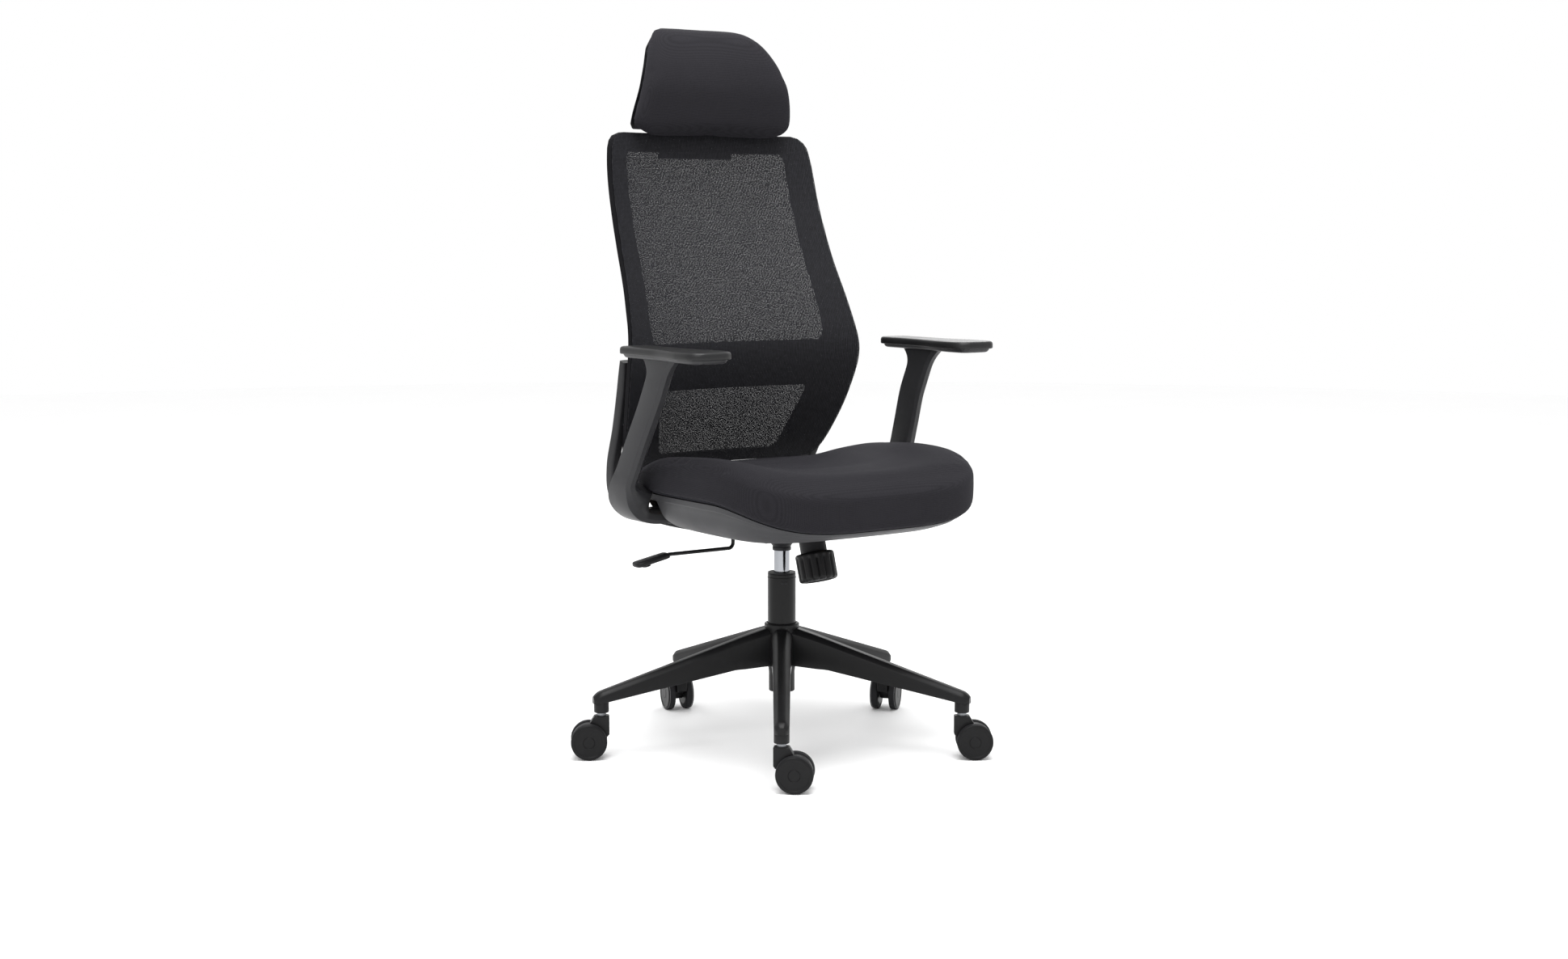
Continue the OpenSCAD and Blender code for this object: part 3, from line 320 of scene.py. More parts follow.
@dataclass
class Piece:
    """How a form becomes a visible piece of the chair."""

    name: str
    body: str
    finish: bpy.types.Material
    slot: Optional[str] = None
    replaces: tuple[str, ...] = ()
    subdivide: int = 0
    crease_angle: float = 35.0
    bevel: float = 0.0

    def object_from(self, form: Form) -> bpy.types.Object:
        """The mesh object of a form, merged, turned right way out and dressed, but not yet riding.

        Args:
            form: The shape, in millimetres.

        Returns:
            The object, at the origin.
        """
        mesh = bpy.data.meshes.new(self.name)
        faces = [row for block in form.faces for row in block.tolist()]
        mesh.from_pydata((form.points * MM).tolist(), [], faces)
        if form.uv is not None:
            layer = mesh.uv_layers.new(name="cloth")
            corner = np.zeros(len(mesh.loops), np.int32)
            mesh.loops.foreach_get("vertex_index", corner)
            layer.data.foreach_set("uv", form.uv[corner].astype(np.float32).ravel())
        shape = bmesh.new()
        shape.from_mesh(mesh)
        bmesh.ops.remove_doubles(shape, verts=shape.verts, dist=2e-6)
        bmesh.ops.dissolve_degenerate(shape, edges=shape.edges, dist=1e-7)
        bmesh.ops.recalc_face_normals(shape, faces=shape.faces)
        shape.to_mesh(mesh)
        shape.free()
        obj = bpy.data.objects.new(self.name, mesh)
        bpy.context.scene.collection.objects.link(obj)
        obj.data.materials.append(self.finish)
        if self.bevel:
            rounding = obj.modifiers.new("rounding", "BEVEL")
            rounding.width = self.bevel * MM
            rounding.segments = 2
            rounding.limit_method = "ANGLE"
            rounding.angle_limit = math.radians(40)
        if self.subdivide:
            finer = obj.modifiers.new("finer", "SUBSURF")
            finer.levels = finer.render_levels = self.subdivide
        shade(obj, self.crease_angle)
        return obj

    def placed(self, obj: bpy.types.Object) -> bpy.types.Object:
        """The object riding on its body and standing for its CAD nodes."""
        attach(obj, self.body)
        if self.replaces:
            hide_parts(*self.replaces)
        LOG.info("%s: %d faces on %s", obj.name, len(obj.data.polygons), self.body)
        return obj

    def make(self, form: Form) -> bpy.types.Object:
        """The finished piece of a form."""
        return self.placed(self.object_from(form))


def shade(obj: bpy.types.Object, angle: float) -> None:
    """Smooth shading, with edges sharper than an angle in degrees kept crisp."""
    obj.data.shade_smooth()
    if angle < 180:
        obj.data.set_sharp_from_angle(angle=math.radians(angle))


# ---- finishes ------------------------------------------------------------------------------------


def tone(code: str, share: float = 1.0) -> tuple[float, float, float, float]:
    """A scene-linear colour from a web colour code, times a share."""
    v = [int(code[k : k + 2], 16) / 255 for k in (1, 3, 5)]
    r, g, b = (share * (c / 12.92 if c <= 0.04045 else ((c + 0.055) / 1.055) ** 2.4) for c in v)
    return (r, g, b, 1.0)


class Sheets(Enum):
    """Which coordinates a pattern follows."""

    OBJECT = "Object"
    CLOTH = "UV"


class Recipe:
    """A material under construction, with short ways to add and join its nodes."""

    def __init__(self, name: str) -> None:
        """Starts a material with an output and a principled shader."""
        self.material = bpy.data.materials.new(name)
        self.material.use_nodes = True
        self.tree = self.material.node_tree
        self.tree.nodes.clear()
        self.out = self.tree.nodes.new("ShaderNodeOutputMaterial")
        self.skin = self.tree.nodes.new("ShaderNodeBsdfPrincipled")
        self.tree.links.new(self.skin.outputs[0], self.out.inputs[0])
        self.place = self.tree.nodes.new("ShaderNodeTexCoord")

    def put(self, socket: bpy.types.NodeSocket, value: object) -> None:
        """Joins a socket to another one, or sets its number or colour."""
        if isinstance(value, bpy.types.NodeSocket):
            self.tree.links.new(value, socket)
        else:
            socket.default_value = value

    def coords(
        self, follow: Sheets = Sheets.OBJECT, scale: Sequence[float] = (1, 1, 1)
    ) -> bpy.types.NodeSocket:
        """Coordinates times a scale."""
        node = self.tree.nodes.new("ShaderNodeMapping")
        node.inputs["Scale"].default_value = tuple(scale)
        self.put(node.inputs["Vector"], self.place.outputs[follow.value])
        return node.outputs[0]

    def noise(
        self, vector: bpy.types.NodeSocket, scale: float, detail: float = 3.0, rough: float = 0.55
    ) -> bpy.types.NodeSocket:
        """Soft noise between 0 and 1."""
        node = self.tree.nodes.new("ShaderNodeTexNoise")
        self.put(node.inputs["Vector"], vector)
        node.inputs["Scale"].default_value = scale
        node.inputs["Detail"].default_value = detail
        node.inputs["Roughness"].default_value = rough
        return node.outputs["Fac"]

    def sum(self, kind: str, a: object, b: object = 0.0, clamp: bool = False) -> bpy.types.NodeSocket:
        """A sum of two numbers or sockets, of the kind that Blender's Math node names."""
        node = self.tree.nodes.new("ShaderNodeMath")
        node.operation = kind
        node.use_clamp = clamp
        self.put(node.inputs[0], a)
        self.put(node.inputs[1], b)
        return node.outputs[0]

    def spread(
        self, value: bpy.types.NodeSocket, low: float, high: float, start: float = 0.0, end: float = 1.0
    ) -> bpy.types.NodeSocket:
        """A value between start and end brought to between low and high."""
        node = self.tree.nodes.new("ShaderNodeMapRange")
        for name, number in (("From Min", start), ("From Max", end), ("To Min", low), ("To Max", high)):
            node.inputs[name].default_value = number
        self.put(node.inputs["Value"], value)
        return node.outputs[0]

    def between(self, share: bpy.types.NodeSocket, low: object, high: object) -> bpy.types.NodeSocket:
        """A colour between two colours."""
        node = self.tree.nodes.new("ShaderNodeMix")
        node.data_type = "RGBA"
        self.put(node.inputs[0], share)
        self.put(node.inputs[6], low)
        self.put(node.inputs[7], high)
        return node.outputs[2]

    def relief(
        self, height: bpy.types.NodeSocket, depth: float, strength: float = 1.0, over: object = None
    ) -> bpy.types.NodeSocket:
        """A bump of that depth in metres, on top of another one where given."""
        node = self.tree.nodes.new("ShaderNodeBump")
        node.inputs["Strength"].default_value = strength
        node.inputs["Distance"].default_value = depth
        self.put(node.inputs["Height"], height)
        if over is not None:
            self.put(node.inputs["Normal"], over)
        return node.outputs[0]

    def threads(self, vector: bpy.types.NodeSocket, pitch: float) -> bpy.types.NodeSocket:
        """A plain weave at any slope of the surface.

        Formula: the sum of the products of the sines of x and y, y and z, and z and x, each taken
        over one turn for every two threads, which reads as crossing threads on every side.
        """
        parts = []
        split = self.tree.nodes.new("ShaderNodeSeparateXYZ")
        self.put(split.inputs[0], vector)
        for k in range(3):
            parts.append(self.sum("SINE", self.sum("MULTIPLY", split.outputs[k], math.pi / pitch)))
        pairs = [self.sum("MULTIPLY", parts[k], parts[(k + 1) % 3]) for k in range(3)]
        return self.sum("ADD", self.sum("ADD", pairs[0], pairs[1]), pairs[2])


@dataclass(frozen=True)
class Moulded:
    """Moulded plastic: fine spark grain, slight mottling and rubbed places."""

    name: str
    colour: str
    rubbed: str
    rough: float = 0.45
    grain: float = 1400.0
    depth: float = 0.00004
    coat: float = 0.0
    gloss: float = 0.2

    def make(self) -> bpy.types.Material:
        """The material."""
        r = Recipe(self.name)
        at = r.coords()
        cloud = r.noise(at, 9.0, 4.0)
        scuff = r.spread(r.noise(at, 46.0, 6.0, 0.7), 0.0, 1.0, 0.56, 0.72)
        share = r.sum("MULTIPLY", scuff, r.spread(cloud, 0.0, 0.55, 0.4, 0.7))
        r.put(r.skin.inputs["Base Color"], r.between(share, tone(self.colour), tone(self.rubbed)))
        r.put(r.skin.inputs["Roughness"], r.spread(cloud, self.rough - 0.06, self.rough + 0.08, 0.3, 0.7))
        r.put(r.skin.inputs["Normal"], r.relief(r.noise(at, self.grain, 2.0), self.depth, 0.5))
        r.skin.inputs["Specular IOR Level"].default_value = self.gloss
        r.skin.inputs["Coat Weight"].default_value = self.coat
        r.skin.inputs["Coat Roughness"].default_value = 0.25
        return r.material


@dataclass(frozen=True)
class Woven:
    """Upholstery fabric: a fine plain weave with two yarn tones, soft fuzz and faint wear."""

    name: str
    warp: str
    weft: str
    pitch: float = 0.0011
    depth: float = 0.00022
    fuzz: float = 0.07

    def make(self) -> bpy.types.Material:
        """The material."""
        r = Recipe(self.name)
        at = r.coords()
        weave = r.spread(r.threads(at, self.pitch), 0.0, 1.0, -1.0, 1.2)
        slub = r.noise(r.coords(scale=(1, 1, 5)), 170.0, 3.0, 0.6)
        share = r.sum("ADD", r.sum("MULTIPLY", weave, 0.62), r.sum("MULTIPLY", slub, 0.42), clamp=True)
        plain = r.between(share, tone(self.warp), tone(self.weft))
        worn = r.spread(r.noise(at, 5.0, 3.0), 0.0, 0.22, 0.45, 0.75)
        r.put(r.skin.inputs["Base Color"], r.between(worn, plain, tone(self.weft)))
        r.put(r.skin.inputs["Roughness"], r.spread(slub, 0.82, 0.96))
        fine = r.relief(weave, self.depth, 0.7)
        r.put(r.skin.inputs["Normal"], r.relief(slub, self.depth, 0.35, over=fine))
        r.skin.inputs["Sheen Weight"].default_value = self.fuzz
        r.skin.inputs["Sheen Roughness"].default_value = 0.5
        r.skin.inputs["Sheen Tint"].default_value = tone("#8d8d98")
        r.skin.inputs["Specular IOR Level"].default_value = 0.12
        return r.material


@dataclass(frozen=True)
class OpenMesh:
    """Stretched mesh fabric: fine round yarns with small open cells between them."""

    name: str
    yarn: str
    shine: str
    pitch: float = 0.0024
    opening: float = 0.66

    def make(self) -> bpy.types.Material:
        """The material; its UVs are in metres across and up the cloth."""
        r = Recipe(self.name)
        split = r.tree.nodes.new("ShaderNodeSeparateXYZ")
        r.put(split.inputs[0], r.coords(Sheets.CLOTH))
        turn = [r.sum("MULTIPLY", split.outputs[k], math.pi / self.pitch) for k in (0, 1)]
        across = r.sum("ABSOLUTE", r.sum("SINE", turn[0]))
        along = r.sum("ABSOLUTE", r.sum("SINE", r.sum("MULTIPLY", turn[1], 1.35)))
        uneven = r.spread(r.noise(r.coords(Sheets.CLOTH), 520.0, 1.0), 0.72, 1.22, 0.36, 0.64)
        cell = r.sum("MULTIPLY", r.sum("MULTIPLY", across, along), uneven)
        cut = r.spread(cell, 1.0, 0.0, self.opening, self.opening + 0.12)
        slub = r.noise(r.coords(Sheets.CLOTH, (1, 0.16, 1)), 420.0, 2.0, 0.6)
        lit = r.sum("MULTIPLY", r.spread(cell, 1.0, 0.0, 0.0, 0.6), r.spread(slub, 0.4, 1.0, 0.35, 0.65))
        r.put(r.skin.inputs["Base Color"], r.between(lit, tone(self.yarn), tone(self.shine)))
        r.put(r.skin.inputs["Roughness"], r.spread(slub, 0.5, 0.75))
        r.put(r.skin.inputs["Alpha"], cut)
        r.put(r.skin.inputs["Normal"], r.relief(cell, 0.0003, 0.6))
        r.skin.inputs["Specular IOR Level"].default_value = 0.15
        return r.material


@dataclass(frozen=True)
class Metal:
    """Drawn or plated metal: faint lines along the object's height and small roughness changes."""

    name: str
    colour: str
    rough: float = 0.12
    lines: float = 1.0

    def make(self) -> bpy.types.Material:
        """The material."""
        r = Recipe(self.name)
        line = r.noise(r.coords(scale=(1, 1, 0.04)), 600.0, 2.0)
        cloud = r.noise(r.coords(), 30.0, 3.0)
        r.put(r.skin.inputs["Base Color"], r.between(cloud, tone(self.colour, 0.92), tone(self.colour)))
        r.put(r.skin.inputs["Roughness"], r.spread(line, self.rough, self.rough + 0.1 * self.lines))
        r.put(r.skin.inputs["Normal"], r.relief(line, 0.00002 * self.lines, 0.3))
        r.skin.inputs["Metallic"].default_value = 1.0
        return r.material


@dataclass(frozen=True)
class Plywood:
    """Pale plywood: long grain with darker bands."""

    name: str = "board_plywood"

    def make(self) -> bpy.types.Material:
        """The material."""
        r = Recipe(self.name)
        grain = r.noise(r.coords(scale=(1, 0.05, 1)), 120.0, 5.0, 0.65)
        r.put(r.skin.inputs["Base Color"], r.between(grain, tone("#8a6a43"), tone("#c9a777")))
        r.put(r.skin.inputs["Roughness"], r.spread(grain, 0.55, 0.75))
        r.put(r.skin.inputs["Normal"], r.relief(grain, 0.0001, 0.4))
        return r.material


class Wardrobe:
    """Every finish of the chair, each made once."""

    def __init__(self) -> None:
        """Makes the materials."""
        self.nylon = Moulded("base_nylon", "#111112", "#232325", 0.38, gloss=0.18).make()
        self.shell = Moulded("pan_plastic", "#333335", "#414144", 0.5, depth=0.00006).make()
        self.arm = Moulded("arm_plastic", "#28282a", "#39393c", 0.42, depth=0.00005, gloss=0.25).make()
        self.frame = Moulded("frame_plastic", "#0b0b0e", "#17171b", 0.6, gloss=0.05).make()
        self.charcoal = Moulded("charcoal_plastic", "#1b1b1d", "#2a2a2d", 0.46).make()
        self.pad = Moulded(
            "pad_skin", "#161617", "#252527", 0.42, grain=700.0, depth=0.00012, gloss=0.28
        ).make()
        self.wheel = Moulded("wheel_nylon", "#111112", "#232325", 0.36, gloss=0.16).make()
        self.tread = Moulded("tread_rubber", "#1c1c1e", "#353537", 0.7, grain=500.0, depth=0.0001).make()
        # Painted highlight: the pale grey colour of the ring between each wheel's tread and hub disc stands
        # for the tread's specular edge.
        self.highlight_ring = Moulded("wheel_painted_highlight", "#7b7b7d", "#979799", 0.5).make()
        self.rubber = Moulded("bumper_rubber", "#101011", "#222223", 0.8).make()
        self.seat_cloth = Woven("seat_fabric", "#100f12", "#262529").make()
        self.seam_cloth = Woven("seam_thread", "#0f0f12", "#222227", pitch=0.0008).make()
        self.mesh_cloth = OpenMesh("mesh_fabric", "#0a0a0c", "#2a2a2f").make()
        self.steel = Metal("zinc_steel", "#7d7f82", 0.3).make()
        self.chrome = Metal("chrome_plate", "#96989c", 0.1, 0.6).make()
        self.dark_steel = Moulded("black_enamel", "#0d0d0e", "#1c1c1e", 0.3, coat=0.05, gloss=0.16).make()
        self.board = Plywood().make()


# ---- base, casters and column --------------------------------------------------------------------

LEGS = 5


@dataclass
class Base:
    """The star base: a flared hub with a sleeve, and five legs that taper out to the caster sockets."""

    wardrobe: Wardrobe
    radius: float = 329.0
    turn: float = 35.3
    hub_top: float = 220.0
    hub_bottom: float = 98.0
    hub_d: float = 62.0
    sleeve_d: float = 46.0
    column_d: float = 50.0
    leg_w: float = 35.0
    leg_root_z: float = 146.0
    tip_top: float = 113.5
    tip_low: float = 96.5
    tip_r: float = 343.0
    socket_d: float = 26.0
    socket_z: float = 80.5

    def leg_angle(self, index: int) -> float:
        """The turn of one leg about the column, in degrees."""
        return -90 - self.turn + 360 / LEGS * index

    def leg(self) -> Form:
        """One leg along +X.

        Formula: at each radius a section with a flat bottom, upright sides, a broad bevel and a flat
        top; its top runs straight from hub to tip, its underside sweeps up and then runs straight, and
        its width eases from hub to socket. The open channel below is a fold of the same section.
        """
        root, knee = 14, 88
        r = np.concatenate([
            np.linspace(root, 110, 16), np.linspace(122, 328, 24), np.linspace(333, self.tip_r + 0.5, 7),
        ])
        t = (r - 17) / (self.tip_r - 17)
        top = (self.hub_top - 3) + (self.tip_top - self.hub_top + 3) * t
        top = top - 2.1 * np.clip(1 - (r - root) / 60, 0, 1) ** 2
        knee_z = self.leg_root_z - 4
        low = np.interp(r, [root, knee, 335, 344], [self.leg_root_z, knee_z, self.tip_low, self.tip_low])
        low = np.where(r < knee, self.leg_root_z - 4 * smooth((r - root) / (knee - root)), low)
        width = np.interp(r, [root, knee, 334], [self.leg_w + 3, self.leg_w - 4, self.socket_d])
        end = np.clip((r - 330) / 13.5, 0, 1)
        width = width * np.sqrt(np.maximum(0.02, 1 - (0.86 * end) ** 2))
        top = top - 5.0 * end**2
        w, flat = width / 2, 0.23 * width
        bevel = 0.27 * width
        deep = np.interp(r, [14, 60, 62, 300, 302, 345], [0, 0, 1, 1, 0, 0])
        ceiling = low + deep * np.interp(r, [60, 302], [32, 8])
        wall = w - 4.2
        rows = [
            (-wall, low), (-wall + 0.6, ceiling), (wall - 0.6, ceiling), (wall, low), (w - 0.8, low),
            (w, low + 1.0), (w, top - bevel - 1.0), (w - 0.5, top - bevel), (flat + 1.0, top - 0.7),
            (flat - 0.6, top),
            (-flat + 0.6, top), (-flat - 1.0, top - 0.7), (-w + 0.5, top - bevel), (-w, top - bevel - 1.0),
            (-w, low + 1.0), (-w + 0.8, low),
        ]
        rings = np.stack([np.column_stack([r, y * np.ones_like(r), z]) for y, z in rows], axis=1)
        return Form.loft(rings)

    def hub(self) -> Form:
        """The hub: a turned shape with a rolled rim, hollow where the column goes in."""
        top, r = self.hub_top, self.hub_d / 2
        inner = self.column_d / 2 + 0.3
        return Form.ring([
            (self.sleeve_d / 2 - 3, self.hub_bottom), (self.sleeve_d / 2 - 0.8, self.hub_bottom),
            (self.sleeve_d / 2, self.hub_bottom + 1), (self.sleeve_d / 2, 132), (self.sleeve_d / 2 + 1, 140),
            (self.sleeve_d / 2 + 3.5, 146), (r - 2.2, top - 22), (r - 1, top - 10), (r, top - 8),
            (r, top - 1.6),
            (r - 1.6, top), (inner + 1.2, top), (inner, top - 1.2), (inner - 2, top - 40), (inner - 4, 130),
        ], 96)

    def socket(self) -> Form:
        """The round socket at a leg's end, with an eased lower rim."""
        r = self.socket_d / 2
        return Form.lathe([
            (7.0, self.socket_z), (r - 1.4, self.socket_z), (r - 0.4, self.socket_z + 0.5),
            (r, self.socket_z + 1.6), (r, self.tip_low + 6), (r - 1.5, self.tip_low + 9),
        ], 48).moved(x=self.radius)

    def build(self) -> None:
        """Builds the base as one piece."""
        arms = [Form.joined([self.leg(), self.socket()]).turned(self.leg_angle(k)) for k in range(LEGS)]
        form = Form.joined([self.hub(), *arms])
        Piece("star_base", "root", self.wardrobe.nylon, "nylon", ("base_star",), crease_angle=32).make(form)


@dataclass
class Casters:
    """Five twin-wheel casters: a middle body with a guard, an axle and two hooded wheels each."""

    wardrobe: Wardrobe
    base: Base
    wheel_d: float = 63.0
    wheel_w: float = 14.5
    trail: float = 22.0
    fork_w: float = 19.0
    fork_l: float = 27.0
    fork_top: float = 75.0
    rest: tuple[float, ...] = (86, 18, 21, -16, -13)

    def into_place(self, form: Form, index: int) -> Form:
        """A form in a caster's own frame, stem at the origin and trail along +X, put at its leg."""
        return form.turned(self.rest[index]).moved(x=self.base.radius).turned(self.base.leg_angle(index))

    def wheel(self, side: int) -> tuple[Form, Form, Form]:
        """One wheel in the caster's frame: its tread, its hub disc and a pale ring between them that is a
        painted highlight.

        Args:
            side: -1 or 1, the side of the middle body it runs on.

        Returns:
            The three forms.
        """
        r, w = self.wheel_d / 2, self.wheel_w
        tread = Form.ring([
            (r - 9, 0.4), (r - 2.6, 0.4), (r - 1.0, 0.9), (r - 0.2, 2.0), (r, 3.4), (r, w - 4.2),
            (r - 0.3, w - 3.4), (r - 1.0, w - 3.0), (r - 9, w - 3.0),
        ], 96)
        # The pale ring between tread and hub disc is a painted highlight standing for the tread's specular
        # edge.
        highlight_ring = Form.ring([
            (r - 8, w - 3.0), (r - 0.9, w - 3.0), (r - 0.7, w - 2.6), (r - 0.9, w - 2.2), (r - 8, w - 2.2),
        ], 96)
        disc = Form.lathe([
            (4.05, 0.1), (r - 9, 0.1), (r - 8.8, w - 2.2), (r - 1.0, w - 2.2), (r - 0.4, w - 1.7),
            (r - 0.7, w - 0.8), (r - 1.9, w - 0.1), (r - 3.6, w + 0.3), (r - 5.6, w + 0.35),
            (r - 6.4, w - 0.2), (r - 7.4, w - 0.5), (16, w - 0.1), (10.4, w + 0.1), (9.8, w - 0.4),
            (9.2, w + 0.1), (4, w + 0.3),
        ], 96)
        y = side * (self.fork_w / 2 + 1)
        return tuple(
            f.turned(-90 * side, "x").moved(x=self.trail, y=y, z=self.wheel_d / 2)
            for f in (tread, disc, highlight_ring)
        )

    def fork(self) -> Form:
        """The middle body.

        Formula: a flat outline of the stem's housing run into a guard arc round the wheels, given its
        width by rings that ease inwards at both faces.
        """
        r = self.wheel_d / 2 - 1.8
        front = -self.fork_l / 2
        back_face = self.fork_l / 2
        a = np.radians(np.concatenate([np.linspace(92, 8, 14)]))
        arc = np.column_stack([self.trail + r * np.cos(a), self.wheel_d / 2 + r * np.sin(a)])
        arc = arc[arc[:, 0] > back_face]
        b = np.radians(np.linspace(8, -78, 9))
        eye = np.column_stack([self.trail + 11 * np.cos(b), self.wheel_d / 2 + 11 * np.sin(b)])
        c = np.radians(np.linspace(-100, -162, 6))
        under = np.column_stack([self.trail + 12 * np.cos(c), self.wheel_d / 2 + 12 * np.sin(c)])
        top = self.fork_top
        outline = np.vstack([
            [(front + 1.5, top), (back_face - 1.5, top), (back_face, top - 1.5)], arc,
            [(self.trail + 17, self.wheel_d / 2 + 4)], eye, under,
            [(2, 36), (front + 3, 39), (front, 43), (front, top - 1.5)],
        ])
        middle = outline.mean(0)
        rings = []
        for y, inset in ((-1, 1.2), (-0.94, 0.4), (-0.86, 0), (0.86, 0), (0.94, 0.4), (1, 1.2)):
            reach = outline - middle
            p = middle + reach * (1 - inset / np.linalg.norm(reach, axis=1)[:, None])
            rings.append(np.column_stack([p[:, 0], np.full(len(p), y * self.fork_w / 2), p[:, 1]]))
        collar = Form.lathe([
            (6, top - 1), (11.6, top - 1), (12.2, top - 0.4), (12.2, top + 0.3), (8.6, top + 0.5),
            (6, top + 0.5),
        ], 48)
        return Form.joined([Form.loft(np.array(rings)), collar])

    def build(self) -> None:
        """Builds five middle bodies and ten wheels."""
        kit = self.wardrobe
        for k in range(LEGS):
            n = k + 1
            Piece(f"caster_body_{n}", f"caster_{n}", kit.nylon, "nylon", (f"caster_fork_{n}",)).make(
                self.into_place(self.fork(), k)
            )
            for side, word in ((-1, "left"), (1, "right")):
                tread, disc, highlight_ring = (self.into_place(f, k) for f in self.wheel(side))
                body = f"wheel_{n}_{word}"
                Piece(f"hub_{n}_{word}", body, kit.wheel, "wheel", (body,)).make(disc)
                Piece(f"tread_{n}_{word}", body, kit.tread, "rubber").make(tread)
                # Pale ring between tread and hub disc: a painted highlight standing for the tread's specular
                # edge.
                Piece(f"band_{n}_{word}", body, kit.highlight_ring, "wheel").make(highlight_ring)


@dataclass
class Column:
    """The gas column: outer tube with its rim, the plated cylinder and the cone under the mechanism."""

    wardrobe: Wardrobe
    tube_d: float = 50.0
    tube_top: float = 309.0
    tube_low: float = 100.0
    hub_top: float = 220.0
    cylinder_d: float = 28.0
    mech_z: float = 368.0

    def tube(self) -> Form:
        """The outer tube with a thin rolled lip below its top."""
        r, top = self.tube_d / 2, self.tube_top
        return Form.ring([
            (17.2, self.tube_low), (19, self.tube_low), (r, self.hub_top), (r, top - 9), (r + 0.5, top - 8.4),
            (r + 0.5, top - 6.8), (r, top - 6.2), (r, top - 1), (r - 0.8, top), (r - 4.1, top),
            (r - 4.1, 252), (17, 250),
        ], 96)

    def marks(self) -> Form:
        """Two small square vents beside each other near the tube's top, as raised frames."""
        forms = []
        for angle in (-52, -38):
            pad = Form.block((-2.2, -0.5, -2.4), (2.2, 0.5, 2.4), 0.4)
            forms.append(pad.moved(y=-self.tube_d / 2 - 0.1, z=self.tube_top - 15).turned(angle + 20))
        return Form.joined(forms)

    def collar(self) -> Form:
        """The black cone between the cylinder and the mechanism, with a stepped lower rim."""
        r, top = self.cylinder_d / 2, self.mech_z
        return Form.ring([
            (r + 0.1, top - 18), (r + 2.2, top - 18), (r + 2.6, top - 17.4), (r + 2.6, top - 12.6),
            (r + 1.8, top - 12), (r + 4, top - 8), (r + 11, top - 1.5), (r + 12, top - 0.5), (r + 12, top),
            (r + 0.1, top),
        ], 72)

    def build(self) -> None:
        """Builds the tube, its marks and the cone."""
        kit = self.wardrobe
        Piece("column_outer", "root", kit.dark_steel, "black_steel", ("column_tube",)).make(self.tube())
        Piece("column_marks", "root", kit.charcoal, "black_steel").make(self.marks())
        Piece("cone", "riser", kit.charcoal, "charcoal_plastic", ("column_collar",)).make(self.collar())


# ---- mechanism controls --------------------------------------------------------------------------


@dataclass
class Controls:
    """The tilt tension knob and the height lever's paddle."""

    wardrobe: Wardrobe
    knob_d: float = 68.0
    knob_l: float = 49.0
    knob_top: tuple[float, float, float] = (0.0, -97.0, 356.0)
    knob_lean: float = 17.0
    flutes: int = 15
    reach: float = 309.0
    lever_y: float = -9.0
    lever_low: float = 364.0
    paddle_l: float = 68.0
    paddle_w: float = 27.0
    paddle_lean: float = 11.0

    def knob(self) -> Form:
        """The knob.

        Formula: a turned barrel whose radius dips at each of the flutes by the eighth power of a
        cosine, fading out near its upper rim, with a dished lower face.
        """
        r, length = self.knob_d / 2, self.knob_l

        def ripple(angle: Array, rad: Array, z: Array) -> Array:
            """The radius with its flutes."""
            dip = np.clip(np.cos(angle * self.flutes / 2), -1, 1) ** 8
            fade = smooth((rad - 0.7 * r) / (0.2 * r)) * (1 - smooth((z + 10) / 5))
            return rad - 3.1 * dip * fade

        low = -length
        z = np.concatenate([[low, low + 0.6, low + 2], np.linspace(low + 5, -9, 10), [-6, -4, -1.5, 0]])
        bends = [low, low + 0.6, low + 2, low + 5, -4, -1.5, 0]
        rad = np.interp(z, bends, [r - 6, r - 3.6, r - 1.6, r - 0.2, r, r - 1, r - 3])
        dish = [(6, low + 2.4), (r - 12, low + 2.4), (r - 9, low + 0.8), (r - 7.5, low + 0.1)]
        form = Form.lathe([*dish, *zip(rad.tolist(), z.tolist())], 180, ripple)
        return form.turned(-self.knob_lean, "x").moved(*self.knob_top)

    def paddle(self) -> Form:
        """The lever's flat paddle: rounded rings along its length, thinner to the tip, with a thumb rest."""
        rows, count = 22, 32
        s = 0.5 - 0.5 * np.cos(np.pi * np.linspace(0, 1, rows))
        x = self.paddle_l * s
        ends = np.sqrt(np.maximum(0.03, 1 - np.abs(2 * s - 1) ** 16))
        width = self.paddle_w * ends * (1 - 0.1 * s)
        height = 10.0 * np.sqrt(np.maximum(0.2, 1 - np.abs(2 * s - 1) ** 16))
        flat = squircle(count, 3.4)
        rings = np.stack([
            np.column_stack([np.full(count, x[k]), flat[:, 0] * width[k], 4 + flat[:, 1] * height[k]])
            for k in range(rows)
        ])
        rest = Form.lathe([(6.4, -4), (7.6, -3.6), (8.6, -1.5), (9.6, 1)], 40).moved(x=22)
        form = Form.joined([Form.loft(rings), rest])
        return form.turned(-self.paddle_lean, "y").moved(-self.reach, self.lever_y, self.lever_low - 17)

    def build(self) -> None:
        """Builds the knob and the paddle."""
        kit = self.wardrobe
        Piece("tilt_knob", "knob", kit.nylon, "nylon", ("tension_knob",), crease_angle=50).make(self.knob())
        Piece("lever_handle", "lever", kit.nylon, "nylon", ("lever_paddle",)).make(self.paddle())


# ---- seat ----------------------------------------------------------------------------------------


